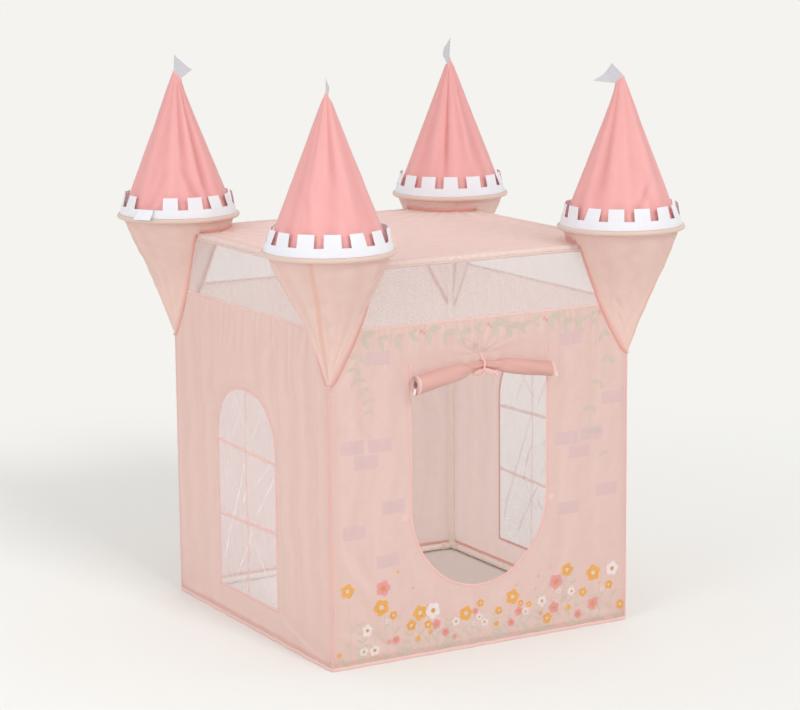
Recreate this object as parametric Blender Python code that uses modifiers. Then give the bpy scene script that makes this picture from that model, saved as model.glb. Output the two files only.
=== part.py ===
"""Children's castle play tent: tube frame, four corner turrets, sewn fabric skin.

The frame is a box of plastic tubes in corner connectors, with a pole and a hoop in each
turret.  The skin hangs on it: folded walls, net strips, a flat roof with sleeves, and two
cones for each turret.  The origin is on the floor, in the middle of the base, front at -Y.
"""
import math

import bpy
from mathutils import Matrix, Vector

# Tent body
tent_width = 1.000
tent_depth = 1.000
roof_height = 1.140
wall_height = 0.968
cloth_thickness = 0.0012
net_thickness = 0.0008
hem_clearance = 0.0008
gap = 0.0003

# Frame tubes and connectors
tube_radius = 0.0090
tube_wall = 0.0012
socket_radius = 0.0120
socket_reach = 0.0420
socket_floor = 0.0120
hub_radius = 0.0135
hub_foot_cut = 0.0013

# Sleeves of the roof over its bars
sleeve_wall = 0.0018
roof_sag = 0.0120
roof_crease_depth = 0.0480

# Turrets
hoop_height = 1.1927
hoop_radius = 0.1800
hoop_tube_radius = 0.0073
skirt_tip_height = 0.8020
skirt_tip_length = 0.0800
cone_top_height = 1.6310
cone_point_rise = 0.0080
cone_seam_length = 0.0340
cone_seam_thickness = 0.0036
cone_seam_shift = 0.0075
cone_seam_tilt = math.radians(44.0)
cone_pole_room = 0.0325
cone_ripple = 0.0012
cone_ripple_count = 7
# Rings of the lower cone, as shares of its height above the tip
skirt_ring_shares = [1, 0.55, 0.17, 0.055, 0.015]
# Rings below the upper cone's seam: depth as a share of the seam's rise, then the shares of
# the seam's shift, half length, half thickness and tilt that are left there
cone_ring_shares = [
    (2.56, 0.55, 1.15, 0.32, 0.55),
    (5.76, 0.15, 0, 0, 0.18),
    (11.84, 0, 0, 0, 0),
]
# Lower rings, as shares of the height from the hoop to the lowest ring above
cone_low_ring_shares = [0.5, 0]
cone_wide_share = 1.06
cone_narrow_share = 1.02

# Battlement band
battlement_height = 0.0610
battlement_strip = 0.0250
battlement_top_radius = 0.1620
merlon_count = 14
merlon_share = 0.58

# Flags, cut as a strip that flares away from its seam
flag_thickness = 0.0006
flag_seam_gap = 0.0007
flag_height = 0.0520
flag_tip_reach = 0.0580
flag_heel_reach = 0.0160
flag_curve = 0.0070
flag_lean_at_back_left = math.radians(55.0)
flag_lean_at_back_right = math.radians(28.0)

# Doorway in the front wall
door_width = 0.4600
door_offset = -0.0110
door_sill = 0.1840
door_top = 0.8640
door_curve_height = 0.2600

# Rolled door flap and its tie
roll_radius = 0.0270
roll_pinched_radius = 0.0210
roll_pinch_length = 0.0600
roll_droop = 0.0290
roll_centre_drop = 0.0340
roll_droop_power = 1.5
roll_turns = 2.25
roll_pitch_share = 0.17
flap_hanging_share = 0.1
tie_width = 0.0120
tie_thickness = 0.0008
tie_knot_radius = 0.0065
tie_tail_length = 0.0460
tie_tail_angle = math.radians(32.0)

# Windows in the side walls
window_width = 0.3800
window_offset = 0.0200
window_sill = 0.0940
window_top = 0.7250
window_spring = 0.5500
muntin_width = 0.0130
muntin_thickness = 0.0016
muntin_low = 0.3220
muntin_high = 0.5390
muntin_arch_drop = 0.0016

# Fastening patches beside the doorway
patch_size = 0.0200
patch_thickness = 0.0016
patch_height = 0.4140
patch_margin = 0.0070

# Folds of the hanging walls
fold_count = 7
fold_depth = 0.0090
fold_fade = 0.0600
fold_foot_share = 0.45
fold_shift_share = 0.32
fold_shift_count = 0.8
flat_margin = 0.0450

# Facet counts
tube_sides = 12
socket_sides = 12
hub_rings = 8
sleeve_sides = 12
turret_sides = 28
hoop_sides = 8
fold_columns = 30
fold_rows = 5
roof_cells = 8
roll_rows = 26
roll_columns = 8
arch_steps = 12
door_steps = 14
tie_steps = 24
knot_sides = 10
knot_rings = 6
merge_distance = 0.00001
smooth_angle = math.radians(35)
hoop_smooth_angle = math.radians(60)

# Sizes that follow from those above
inset = hub_radius + gap + cloth_thickness
half_width = tent_width / 2
half_depth = tent_depth / 2
pole_x = half_width - inset
pole_y = half_depth - inset
base_axis = hub_radius - hub_foot_cut
sleeve_radius = tube_radius + gap + sleeve_wall
bore_radius = tube_radius + gap
cone_radius = hoop_radius - hoop_tube_radius - gap
cone_point_height = cone_top_height + cone_point_rise
overrun = 2 * socket_reach

CORNERS = {
    "front_left": (-1, -1, 0),
    "front_right": (1, -1, 1),
    "back_right": (1, 1, 2),
    "back_left": (-1, 1, 3),
}

# Colour and roughness of each finish
WALL_CLOTH = ((0.86, 0.60, 0.56, 1), 0.70)
ROOF_CLOTH = ((0.84, 0.56, 0.52, 1), 0.60)
CONE_CLOTH = ((0.84, 0.36, 0.34, 1), 0.65)
PLASTIC = ((0.80, 0.72, 0.62, 1), 0.45)
WHITE_CLOTH = ((0.86, 0.85, 0.90, 1), 0.80)
NET = ((0.80, 0.74, 0.76, 1), 0.80)
RIBBON = ((0.84, 0.50, 0.48, 1), 0.60)


def new_collection(name):
    group = bpy.data.collections.get(name) or bpy.data.collections.new(name)
    if group.name not in bpy.context.scene.collection.children:
        bpy.context.scene.collection.children.link(group)
    return group


def finish_of(name, look):
    colour, roughness = look
    finish = bpy.data.materials.new(name)
    finish.use_nodes = True
    shader = finish.node_tree.nodes["Principled BSDF"]
    shader.inputs["Base Color"].default_value = colour
    shader.inputs["Roughness"].default_value = roughness
    shader.inputs["Metallic"].default_value = 0
    return finish


def add_object(name, mesh, group, look=None):
    piece = bpy.data.objects.new(name, mesh)
    group.objects.link(piece)
    if look is not None:
        piece.data.materials.append(finish_of(name, look))
    return piece


def as_cutter(piece):
    piece.hide_render = True
    piece.display_type = "WIRE"
    return piece


def mesh_from(name, points, faces):
    mesh = bpy.data.meshes.new(name)
    mesh.from_pydata([tuple(point) for point in points], [], faces)
    mesh.update()
    return mesh


def sheet(name, columns, rows, place):
    """A grid of quads laid over place(u, v), with u and v from 0 to 1."""
    points = [place(i / columns, j / rows) for i in range(columns + 1) for j in range(rows + 1)]
    step = rows + 1
    faces = []
    for i in range(columns):
        for j in range(rows):
            low = i * step + j
            faces.append((low, low + step, low + step + 1, low + 1))
    return mesh_from(name, points, faces)


def thicken(piece, thickness, offset=-1):
    shell = piece.modifiers.new("Thickness", "SOLIDIFY")
    shell.thickness = thickness
    shell.offset = offset
    shell.use_even_offset = True
    return piece


def combine(piece, other, operation="DIFFERENCE"):
    step = piece.modifiers.new(operation.title(), "BOOLEAN")
    step.operation = operation
    step.solver = "EXACT"
    step.object = other
    return piece


def turned(name, profile, sides, group, closed=True):
    """A profile of (radius, height) pairs, outer side first and downwards, turned about Z."""
    points = [(radius, 0, height) for radius, height in profile]
    edges = [(i, i + 1) for i in range(len(points) - 1)]
    if closed and profile[0][0] > 0:
        edges.append((len(points) - 1, 0))
    mesh = bpy.data.meshes.new(name)
    mesh.from_pydata(points, edges, [])
    piece = add_object(name, mesh, group)
    lathe = piece.modifiers.new("Turn", "SCREW")
    lathe.steps = sides
    lathe.render_steps = sides
    lathe.use_merge_vertices = True
    lathe.merge_threshold = merge_distance
    lathe.use_smooth_shade = True
    return piece


def plate(name, outline, thickness, group):
    """A flat outline in the XY plane, thickened evenly about it."""
    mesh = mesh_from(name, [(x, y, 0) for x, y in outline], [tuple(range(len(outline)))])
    return thicken(add_object(name, mesh, group), thickness, 0)


def block(name, low, high, group):
    bpy.ops.mesh.primitive_cube_add(size=1)
    piece = bpy.context.object
    size = Vector(high) - Vector(low)
    piece.data.transform(Matrix.Diagonal((*size, 1)))
    piece.data.transform(Matrix.Translation((Vector(high) + Vector(low)) / 2))
    return adopt(piece, name, group)


def adopt(piece, name, group):
    for old in list(piece.users_collection):
        old.objects.unlink(piece)
    group.objects.link(piece)
    piece.name = name
    piece.data.name = name
    return piece


def rod(name, radius, start, length, axis, sides, group):
    """A solid cylinder from a start point along one of the axes X, Y or Z."""
    bpy.ops.mesh.primitive_cylinder_add(vertices=sides, radius=radius, depth=length)
    piece = bpy.context.object
    piece.data.transform(Matrix.Translation((0, 0, length / 2)))
    piece.data.transform(axis_turn(axis))
    piece.data.transform(Matrix.Translation(start))
    return adopt(piece, name, group)


def axis_turn(axis):
    """The turn that lays +Z along an axis."""
    turns = {
        "X": Matrix.Rotation(math.pi / 2, 4, "Y"),
        "Y": Matrix.Rotation(-math.pi / 2, 4, "X"),
        "Z": Matrix.Identity(4),
    }
    return turns[axis]


def baked(piece, helpers=()):
    """The evaluated mesh of a piece, whose objects are removed afterwards."""
    graph = bpy.context.evaluated_depsgraph_get()
    mesh = bpy.data.meshes.new_from_object(piece.evaluated_get(graph))
    mesh.transform(piece.matrix_world)
    for spare in [piece, *helpers]:
        bpy.data.objects.remove(spare)
    return mesh


def smooth(mesh, angle=smooth_angle):
    mesh.shade_smooth()
    mesh.set_sharp_from_angle(angle=angle)
    return mesh


def ease(value, low, high):
    """0 below low, 1 above high, and a smooth step between."""
    share = min(max((value - low) / (high - low), 0), 1)
    return share * share * (3 - 2 * share)


# Frame

def connector_mesh(name, heights, cutters):
    """A hub with sockets towards +X and +Y, and towards each Z direction in heights."""
    bpy.ops.mesh.primitive_uv_sphere_add(segments=socket_sides, ring_count=hub_rings, radius=hub_radius)
    hub = adopt(bpy.context.object, name, cutters)
    helpers = []
    ways = [("X", 1), ("Y", 1), *[("Z", sign) for sign in heights]]
    for axis, sign in ways:
        start = (0, 0, min(sign, 0) * socket_reach)
        socket = rod(f"{name}_socket", socket_radius, start, socket_reach, axis, socket_sides, cutters)
        helpers.append(socket)
        combine(hub, helpers[-1], "UNION")
    for axis, sign in ways:
        direction = axis_turn(axis).to_3x3() @ Vector((0, 0, 1))
        start = direction * (socket_floor if sign > 0 else -socket_floor - overrun)
        helpers.append(rod(f"{name}_bore", bore_radius, start, overrun, axis, socket_sides, cutters))
        combine(hub, helpers[-1])
    if -1 not in heights:
        low = (-overrun, -overrun, -base_axis - overrun)
        high = (overrun, overrun, -base_axis)
        helpers.append(block(f"{name}_floor", low, high, cutters))
        combine(hub, helpers[-1])
    return smooth(baked(hub, helpers))


def tube_mesh(name, length, cutters):
    inner = tube_radius - tube_wall
    profile = [(tube_radius, length), (tube_radius, 0), (inner, 0), (inner, length)]
    return smooth(baked(turned(name, profile, tube_sides, cutters)))


def pole_mesh(name, length, cutters):
    """A tube with a rounded plug in its top end."""
    inner = tube_radius - tube_wall
    shoulder = length - tube_radius / 2
    crown = tube_radius * math.sin(math.pi / 4)
    crown_height = shoulder + tube_radius / 2 * math.cos(math.pi / 4)
    profile = [
        (0, length), (crown, crown_height), (tube_radius, shoulder), (tube_radius, 0),
        (inner, 0), (inner, shoulder), (0, shoulder),
    ]
    return smooth(baked(turned(name, profile, tube_sides, cutters)))


def build_frame(tent, cutters):
    base_mesh = connector_mesh("base_connector", [1], cutters)
    top_mesh = connector_mesh("top_connector", [1, -1], cutters)
    end = socket_floor + gap
    upright_mesh = tube_mesh("upright_tube", roof_height - base_axis - 2 * end, cutters)
    pole_top = cone_top_height - cone_pole_room - gap
    turret_pole = pole_mesh("turret_pole_tube", pole_top - roof_height - end, cutters)
    cross_mesh = tube_mesh("cross_tube", 2 * (pole_x - end), cutters)
    long_mesh = tube_mesh("long_tube", 2 * (pole_y - end), cutters)
    for corner, (side, front, quarter) in CORNERS.items():
        x = side * pole_x
        y = front * pole_y
        places = [
            (f"base_connector_{corner}", base_mesh, base_axis, quarter),
            (f"top_connector_{corner}", top_mesh, roof_height, quarter),
            (f"upright_{corner}", upright_mesh, base_axis + end, 0),
            (f"turret_pole_{corner}", turret_pole, roof_height + end, 0),
        ]
        for name, mesh, height, turns in places:
            piece = add_object(name, mesh.copy(), tent, PLASTIC)
            piece.location = (x, y, height)
            piece.rotation_euler = (0, 0, turns * math.pi / 2)
    for level, height in [("base", base_axis), ("roof", roof_height)]:
        for name, front in [("front", -1), ("back", 1)]:
            piece = add_object(f"{level}_bar_{name}", cross_mesh.copy(), tent, PLASTIC)
            piece.location = (-pole_x + end, front * pole_y, height)
            piece.rotation_euler = (0, math.pi / 2, 0)
        for name, side in [("left", -1), ("right", 1)]:
            piece = add_object(f"{level}_bar_{name}", long_mesh.copy(), tent, PLASTIC)
            piece.location = (side * pole_x, -pole_y + end, height)
            piece.rotation_euler = (-math.pi / 2, 0, 0)


# Turrets, made at the origin of a turret whose inside lies towards +X and +Y

def skirt_radius(rise):
    """Radius of the lower cone at a rise above its tip: a cone with a rounded tip."""
    full = hoop_height - skirt_tip_height
    scale = cone_radius / math.sqrt(full * (full + skirt_tip_length))
    return scale * math.sqrt(rise * (rise + skirt_tip_length))


def skirt_profile(margin, top):
    """Outer profile from the top down to the tip, a margin outside the cloth."""
    full = top - skirt_tip_height
    profile = []
    for share in skirt_ring_shares:
        profile.append((skirt_radius(full * share) + margin, skirt_tip_height + full * share))
    profile.append((0, skirt_tip_height - margin))
    return profile


def skirt_space(corner, cutters):
    """The lower cone with a margin round it, as the cutter of walls, net and roof."""
    side, front, _ = CORNERS[corner]
    top = hoop_height - gap / 2
    profile = [(0, top), *skirt_profile(gap, top)]
    space = turned(f"skirt_space_{corner}", profile, turret_sides, cutters)
    space.location = (side * pole_x, front * pole_y, 0)
    return as_cutter(space)


def skirt_mesh(cutters):
    """Lower cone: all round above the roof, and only outside the walls below it."""
    profile = skirt_profile(0, hoop_height - (gap + cloth_thickness) / 2)
    skirt = turned("skirt", profile, turret_sides, cutters, closed=False)
    thicken(skirt, cloth_thickness)
    inside = -(inset - cloth_thickness)
    far = 2 * hoop_radius
    roof_face = roof_height + sleeve_radius
    room = block("tent_room", (inside, inside, 0), (far, far, roof_face + gap), cutters)
    combine(skirt, room)
    helpers = [room]
    start = (0, 0, roof_height)
    for axis in "XY":
        notch = rod("sleeve_notch", sleeve_radius + 2 * gap, start, far, axis, sleeve_sides, cutters)
        combine(skirt, notch)
        helpers.append(notch)
    return smooth(baked(skirt, helpers))


def cone_rings():
    """Rings of the upper cone from its flat seam down: height, shift, half widths, tilt."""
    slope = cone_radius / (cone_point_height - hoop_height)
    seam_half = cone_seam_length / 2
    seam_rise = seam_half * math.sin(cone_seam_tilt)
    seam_height = cone_top_height - seam_rise
    rings = [(seam_height, cone_seam_shift, seam_half, cone_seam_thickness / 2, cone_seam_tilt)]
    for depth_share, shift_share, wide_share, narrow_share, tilt_share in cone_ring_shares:
        height = cone_top_height - seam_rise * depth_share
        radius = slope * (cone_point_height - height)
        wide = max(radius * cone_wide_share, seam_half * wide_share) if tilt_share else radius
        narrow = max(radius * cone_narrow_share, seam_half * narrow_share) if tilt_share else radius
        rings.append((height, cone_seam_shift * shift_share, wide, narrow, cone_seam_tilt * tilt_share))
    lowest = hoop_height + gap / 2
    last = rings[-1][0]
    for share in cone_low_ring_shares:
        height = lowest + (last - lowest) * share
        radius = slope * (cone_point_height - height)
        rings.append((height, 0, radius, radius, 0))
    return rings


def cone_point(ring, angle, ripple):
    """A point of a ring; its wide direction lies half way between +X and +Y."""
    height, shift, wide, narrow, tilt = ring
    along = wide * math.cos(angle) + ripple * math.cos(angle)
    across = narrow * math.sin(angle) + ripple * math.sin(angle)
    reach = shift + along * math.cos(tilt)
    diagonal = Vector((1, 1, 0)).normalized()
    sideways = Vector((-1, 1, 0)).normalized()
    return diagonal * reach + sideways * across + Vector((0, 0, height - along * math.sin(tilt)))


def cone_mesh(cutters):
    """Upper cone: a loft from the round hem to the flat slanted seam, hollowed out."""
    rings = cone_rings()
    points = []
    for index, ring in enumerate(rings):
        for k in range(turret_sides):
            # The half turn of 45 degrees keeps the facets in line with the hoop's
            angle = 2 * math.pi * k / turret_sides - math.pi / 4
            wave = math.cos(cone_ripple_count * angle)
            ripple = cone_ripple * wave if 1 < index < len(rings) - 1 else 0
            points.append(cone_point(ring, angle, ripple))
    faces = []
    for index in range(len(rings) - 1):
        for k in range(turret_sides):
            following = (k + 1) % turret_sides
            upper = index * turret_sides
            lower = upper + turret_sides
            faces.append((upper + k, lower + k, lower + following, upper + following))
    faces.append(tuple(range(turret_sides)))
    last = (len(rings) - 1) * turret_sides
    faces.append(tuple(last + k for k in reversed(range(turret_sides))))
    cone = add_object("cone", mesh_from("cone", points, faces), cutters)
    slope = cone_radius / (cone_point_height - hoop_height)
    wall = cloth_thickness / math.cos(math.atan(slope)) + cone_ripple
    shoulder = rings[2][0]
    low = hoop_height - overrun
    hollow_top = cone_top_height - cone_pole_room
    profile = [
        (0, hollow_top),
        (bore_radius, hollow_top - gap),
        (slope * (cone_point_height - shoulder) - wall, shoulder),
        (slope * (cone_point_height - low) - wall, low),
        (0, low),
    ]
    hollow = turned("cone_hollow", profile, turret_sides, cutters)
    combine(cone, hollow)
    return smooth(baked(cone, [hollow]))


def hoop_mesh(cutters):
    bpy.ops.mesh.primitive_torus_add(
        major_radius=hoop_radius, minor_radius=hoop_tube_radius,
        major_segments=turret_sides, minor_segments=hoop_sides,
    )
    hoop = adopt(bpy.context.object, "hoop", cutters)
    return smooth(baked(hoop), hoop_smooth_angle)


def battlement_mesh(cutters):
    """A ring strip with merlons: a bent grid whose gaps are left out, then thickened."""
    foot = hoop_height + hoop_tube_radius + gap
    foot_radius = hoop_radius - cloth_thickness
    slope = (foot_radius - battlement_top_radius) / battlement_height
    heights = [0, battlement_strip, battlement_height]
    angles = []
    for merlon in range(merlon_count):
        start = 2 * math.pi * merlon / merlon_count
        angles.append(start)
        angles.append(start + 2 * math.pi * merlon_share / merlon_count)
    points = []
    for angle in angles:
        for height in heights:
            radius = foot_radius - slope * height
            points.append((radius * math.cos(angle), radius * math.sin(angle), foot + height))
    faces = []
    levels = len(heights)
    for column in range(len(angles)):
        following = (column + 1) % len(angles)
        for level in range(levels - 1):
            if level == 1 and column % 2 == 1:
                continue
            a = column * levels + level
            b = following * levels + level
            faces.append((a, b, b + 1, a + 1))
    band = add_object("battlement", mesh_from("battlement", points, faces), cutters)
    thicken(band, cloth_thickness)
    return baked(band)


def flag_mesh(flipped, cutters):
    """Pennant in its own plane: the seam along X, the cloth towards +Y."""
    half_seam = cone_seam_length / 2
    tip = (flag_tip_reach, flag_height)
    bend = ((half_seam + flag_tip_reach) / 2, flag_height / 2 + flag_curve)
    outline = [
        (-half_seam, flag_seam_gap), (half_seam, flag_seam_gap), bend, tip,
        (-flag_heel_reach, flag_height),
    ]
    if flipped:
        outline = [(-x, y) for x, y in reversed(outline)]
    return baked(plate("flag", outline, flag_thickness, cutters))


def build_turrets(tent, cutters):
    shared = [
        ("turret_skirt", skirt_mesh(cutters), WALL_CLOTH),
        ("turret_hoop", hoop_mesh(cutters), PLASTIC),
        ("turret_cone", cone_mesh(cutters), CONE_CLOTH),
        ("turret_battlement", battlement_mesh(cutters), WHITE_CLOTH),
    ]
    leans = {"back_left": flag_lean_at_back_left, "back_right": flag_lean_at_back_right}
    seam_drop = cone_seam_length / 2 * math.sin(cone_seam_tilt)
    for corner, (side, front, quarter) in CORNERS.items():
        place = Vector((side * pole_x, front * pole_y, 0))
        turn = Matrix.Rotation(quarter * math.pi / 2, 4, "Z")
        for name, mesh, look in shared:
            piece = add_object(f"{name}_{corner}", mesh.copy(), tent, look)
            height = hoop_height if name == "turret_hoop" else 0
            piece.matrix_world = Matrix.Translation(place + Vector((0, 0, height))) @ turn
        lean = leans.get(corner, 0)
        inward = (turn @ Vector((1, 1, 0))).normalized()
        sideways = Vector((-inward.y, inward.x, 0))
        down_seam = inward * math.cos(cone_seam_tilt) - Vector((0, 0, math.sin(cone_seam_tilt)))
        out_of_seam = inward * math.sin(cone_seam_tilt) + Vector((0, 0, math.cos(cone_seam_tilt)))
        cloth_way = out_of_seam * math.cos(lean) + sideways * math.sin(lean)
        axes = Matrix((down_seam, cloth_way, down_seam.cross(cloth_way))).transposed().to_4x4()
        seam_centre = place + inward * cone_seam_shift + Vector((0, 0, cone_top_height - seam_drop))
        flag = add_object(f"flag_{corner}", flag_mesh(lean > 0, cutters), tent, WHITE_CLOTH)
        flag.matrix_world = Matrix.Translation(seam_centre) @ axes


# Walls

def fold(across, height, width, flat_low, flat_high, flat_top):
    """Outward depth of the hanging folds, none at the hem, the corners and the opening."""
    place = across / width
    uneven = fold_shift_share * math.sin(2 * math.pi * fold_shift_count * place)
    wave = (1 - math.cos(2 * math.pi * (fold_count * place + uneven))) / 2
    fall = ease(wall_height - height, 0, fold_fade * 2)
    foot = fold_foot_share + (1 - fold_foot_share) * ease(height, 0, fold_fade * 3)
    corner = ease(width / 2 - abs(across), 0, fold_fade)
    opening = 1
    if flat_low is not None:
        beside = max(flat_low - across, across - flat_high)
        above = height - flat_top
        opening = ease(max(beside, above), 0, flat_margin)
    return fold_depth * wave * fall * foot * corner * opening


def wall_mesh(name, width, face, opening):
    """A folded sheet; face puts a point (across, outward, height) on its side."""
    flat_low, flat_high, flat_top = opening
    height_span = wall_height - hem_clearance

    def place(u, v):
        across = width * (u - 0.5)
        height = hem_clearance + height_span * v
        return face(across, fold(across, height, width, flat_low, flat_high, flat_top), height)

    return sheet(name, fold_columns, fold_rows, place)


def arch_outline(width, centre, sill, spring, top, margin=0):
    """An upright opening with a flat sill and a low round top."""
    half = width / 2 - margin
    rise = top - margin - spring
    points = [(centre - half, sill + margin), (centre + half, sill + margin)]
    for k in range(arch_steps + 1):
        angle = math.pi * k / arch_steps
        points.append((centre + half * math.cos(angle), spring + rise * math.sin(angle)))
    return points


def door_outline():
    """A doorway with straight sides, a straight top and a deep round bottom."""
    half = door_width / 2
    points = [(door_offset + half, door_top), (door_offset - half, door_top)]
    for k in range(door_steps + 1):
        angle = math.pi + math.pi * k / door_steps
        drop = door_curve_height * math.sin(angle)
        points.append((door_offset + half * math.cos(angle), door_sill + door_curve_height + drop))
    return points


def upright_plate(name, outline, thickness, place, turn, group):
    """A plate drawn as (across, height), stood up and turned to a side of the tent."""
    board = plate(name, outline, thickness, group)
    stand_up = Matrix.Rotation(math.pi / 2, 4, "X")
    board.matrix_world = Matrix.Translation(place) @ Matrix.Rotation(turn, 4, "Z") @ stand_up
    return board


def build_walls(tent, cutters, spaces):
    side_span = tent_depth - 2 * (cloth_thickness + gap)
    door_low = door_offset - door_width / 2 - flat_margin
    door_high = door_offset + door_width / 2 + flat_margin
    window_low = window_offset - window_width / 2
    window_high = window_offset + window_width / 2

    def front_face(across, outward, height):
        return across, -half_depth - outward, height

    def back_face(across, outward, height):
        return -across, half_depth + outward, height

    def left_face(across, outward, height):
        return -half_width - outward, -across, height

    def right_face(across, outward, height):
        return half_width + outward, across, height

    no_opening = (None, None, None)
    walls = {
        "front": (tent_width, front_face, (door_low, door_high, wall_height)),
        "back": (tent_width, back_face, no_opening),
        "left": (side_span, left_face, (-window_high, -window_low, window_top)),
        "right": (side_span, right_face, (window_low, window_high, window_top)),
    }
    pieces = {}
    for name, (width, face, opening) in walls.items():
        mesh = wall_mesh(f"wall_{name}", width, face, opening)
        wall = thicken(add_object(f"wall_{name}", mesh, tent, WALL_CLOTH), cloth_thickness)
        for corner in [corner for corner in CORNERS if name in corner]:
            combine(wall, spaces[corner])
        pieces[name] = wall
    door = upright_plate("doorway", door_outline(), overrun, (0, -half_depth, 0), 0, cutters)
    combine(pieces["front"], as_cutter(door))
    opening = arch_outline(window_width, window_offset, window_sill, window_spring, window_top)
    for name, side in [("left", -1), ("right", 1)]:
        place = (side * half_width, 0, 0)
        hole = upright_plate(f"window_hole_{name}", opening, overrun, place, math.pi / 2, cutters)
        combine(pieces[name], as_cutter(hole))


def build_windows(tent, cutters):
    """Net panes with two cross ribbons and one upright ribbon sewn on the outside."""
    pane = arch_outline(window_width, window_offset, window_sill, window_spring, window_top, gap)
    proud = (muntin_thickness - net_thickness) / 2
    half_pane = window_width / 2 - 2 * gap
    half_bar = muntin_width / 2
    upright_low = window_sill + 2 * gap
    upright_high = window_top - muntin_arch_drop
    low_y = window_offset - half_pane
    high_y = window_offset + half_pane
    bars = [(window_offset - half_bar, window_offset + half_bar, upright_low, upright_high)]
    for height in (muntin_low, muntin_high):
        bars.append((low_y, high_y, height - half_bar, height + half_bar))
    for name, side in [("left", -1), ("right", 1)]:
        middle = side * (half_width - cloth_thickness / 2)
        panel = upright_plate(f"window_{name}", pane, net_thickness, (middle, 0, 0), math.pi / 2, tent)
        panel.data.materials.append(finish_of(f"window_{name}", NET))
        inner = middle + side * proud - muntin_thickness / 2
        for index, (y_low, y_high, z_low, z_high) in enumerate(bars):
            low = (inner, y_low, z_low)
            high = (inner + muntin_thickness, y_high, z_high)
            bar = block(f"muntin_{name}_{index}", low, high, cutters)
            combine(panel, as_cutter(bar), "UNION")


def build_net_strips(tent, spaces):
    """Net between the wall hem and the roof sleeve, bent in to the sleeve at its top."""
    low = wall_height + gap
    reach = sleeve_radius + 2 * gap + net_thickness
    top_in_x = half_width - pole_x - reach
    top_in_y = half_depth - pole_y - reach
    bend = roof_height - 2 * sleeve_radius
    sides = {
        "front": (0, half_depth, half_width, top_in_y),
        "right": (1, half_width, half_depth, top_in_x),
        "back": (2, half_depth, half_width, top_in_y),
        "left": (3, half_width, half_depth, top_in_x),
    }
    for name, (quarter, outward, half, lean) in sides.items():
        turn = Matrix.Rotation(quarter * math.pi / 2, 4, "Z")
        levels = [(low, 0), (bend, 0), (roof_height, lean)]
        trim = half - cloth_thickness - gap if quarter % 2 else half
        points = []
        for across in (-trim, 0, trim):
            for height, inward in levels:
                points.append(turn @ Vector((across, -outward + inward, height)))
        faces = []
        rows = len(levels)
        for a in [column * rows + row for column in range(2) for row in range(rows - 1)]:
            faces.append((a, a + rows, a + rows + 1, a + 1))
        strip = add_object(f"net_strip_{name}", mesh_from(f"net_strip_{name}", points, faces), tent, NET)
        thicken(strip, net_thickness)
        for corner in [corner for corner in CORNERS if name in corner]:
            combine(strip, spaces[corner])


# Roof

def build_roof(tent, cutters, spaces):
    """A sagging sheet between four sleeves that run over the roof bars."""
    top = roof_height + sleeve_radius

    def place(u, v):
        x = 2 * pole_x * (u - 0.5)
        y = 2 * pole_y * (v - 0.5)
        bowl = math.sin(math.pi * u) * math.sin(math.pi * v)
        diagonals = abs(u - v) * abs(1 - u - v)
        return x, y, top - (roof_sag + roof_crease_depth * diagonals) * bowl

    mesh = sheet("roof", roof_cells, roof_cells, place)
    roof = thicken(add_object("roof", mesh, tent, ROOF_CLOTH), cloth_thickness)
    for corner in CORNERS:
        combine(roof, spaces[corner])
    low_x = socket_reach + gap - pole_x
    low_y = socket_reach + gap - pole_y
    runs = [
        ("front", -2 * low_x, (low_x, -pole_y, roof_height), "X"),
        ("back", -2 * low_x, (low_x, pole_y, roof_height), "X"),
        ("left", -2 * low_y, (-pole_x, low_y, roof_height), "Y"),
        ("right", -2 * low_y, (pole_x, low_y, roof_height), "Y"),
    ]
    for name, length, start, axis in runs:
        profile = [(sleeve_radius, length), (sleeve_radius, 0), (bore_radius, 0), (bore_radius, length)]
        sleeve = turned(f"sleeve_{name}", profile, sleeve_sides, cutters)
        sleeve.matrix_world = Matrix.Translation(start) @ axis_turn(axis)
        combine(roof, as_cutter(sleeve), "UNION")


# Rolled door flap

def pinch(x):
    """1 at the tie, falling to 0 away from it."""
    return math.exp(-((x - door_offset) / roll_pinch_length) ** 2)


def roll_state(x):
    """Radius, centre height and outward shift of the roll at a place along it."""
    share = abs(x - door_offset) / (door_width / 2)
    radius = roll_radius - (roll_radius - roll_pinched_radius) * pinch(x)
    centre = door_top - roll_centre_drop - roll_droop * share ** roll_droop_power
    shift = (tie_thickness + gap) * 2 * pinch(x)
    return radius, centre, shift


def roll_place(x, share):
    """A point of the flap: down its hanging part, then round the spiral outwards."""
    radius, centre, shift = roll_state(x)
    face = -half_depth - gap - cloth_thickness / 2 - shift
    if share < flap_hanging_share:
        return x, face, door_top + (centre - door_top) * share / flap_hanging_share
    turns = roll_turns * (share - flap_hanging_share) / (1 - flap_hanging_share)
    turn = 2 * math.pi * turns
    local = radius * (1 - roll_pitch_share * turns)
    return x, face - radius + local * math.cos(turn), centre - local * math.sin(turn)


def build_door_roll(tent, cutters):
    hinge = bpy.data.objects.new("door_roll_hinge", None)
    tent.objects.link(hinge)
    hinge.location = (door_offset, -half_depth - gap, door_top)
    length = door_width - 4 * gap

    def place(u, v):
        return roll_place(door_offset + length * (v - 0.5), u)

    roll = add_object("door_roll", sheet("door_roll", roll_rows, roll_columns, place), tent, RIBBON)
    thicken(roll, cloth_thickness, 0)
    tie = build_tie(tent, cutters)
    for piece in (roll, tie):
        piece.parent = hinge
        piece.matrix_parent_inverse = Matrix.Translation(hinge.location).inverted()


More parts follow.
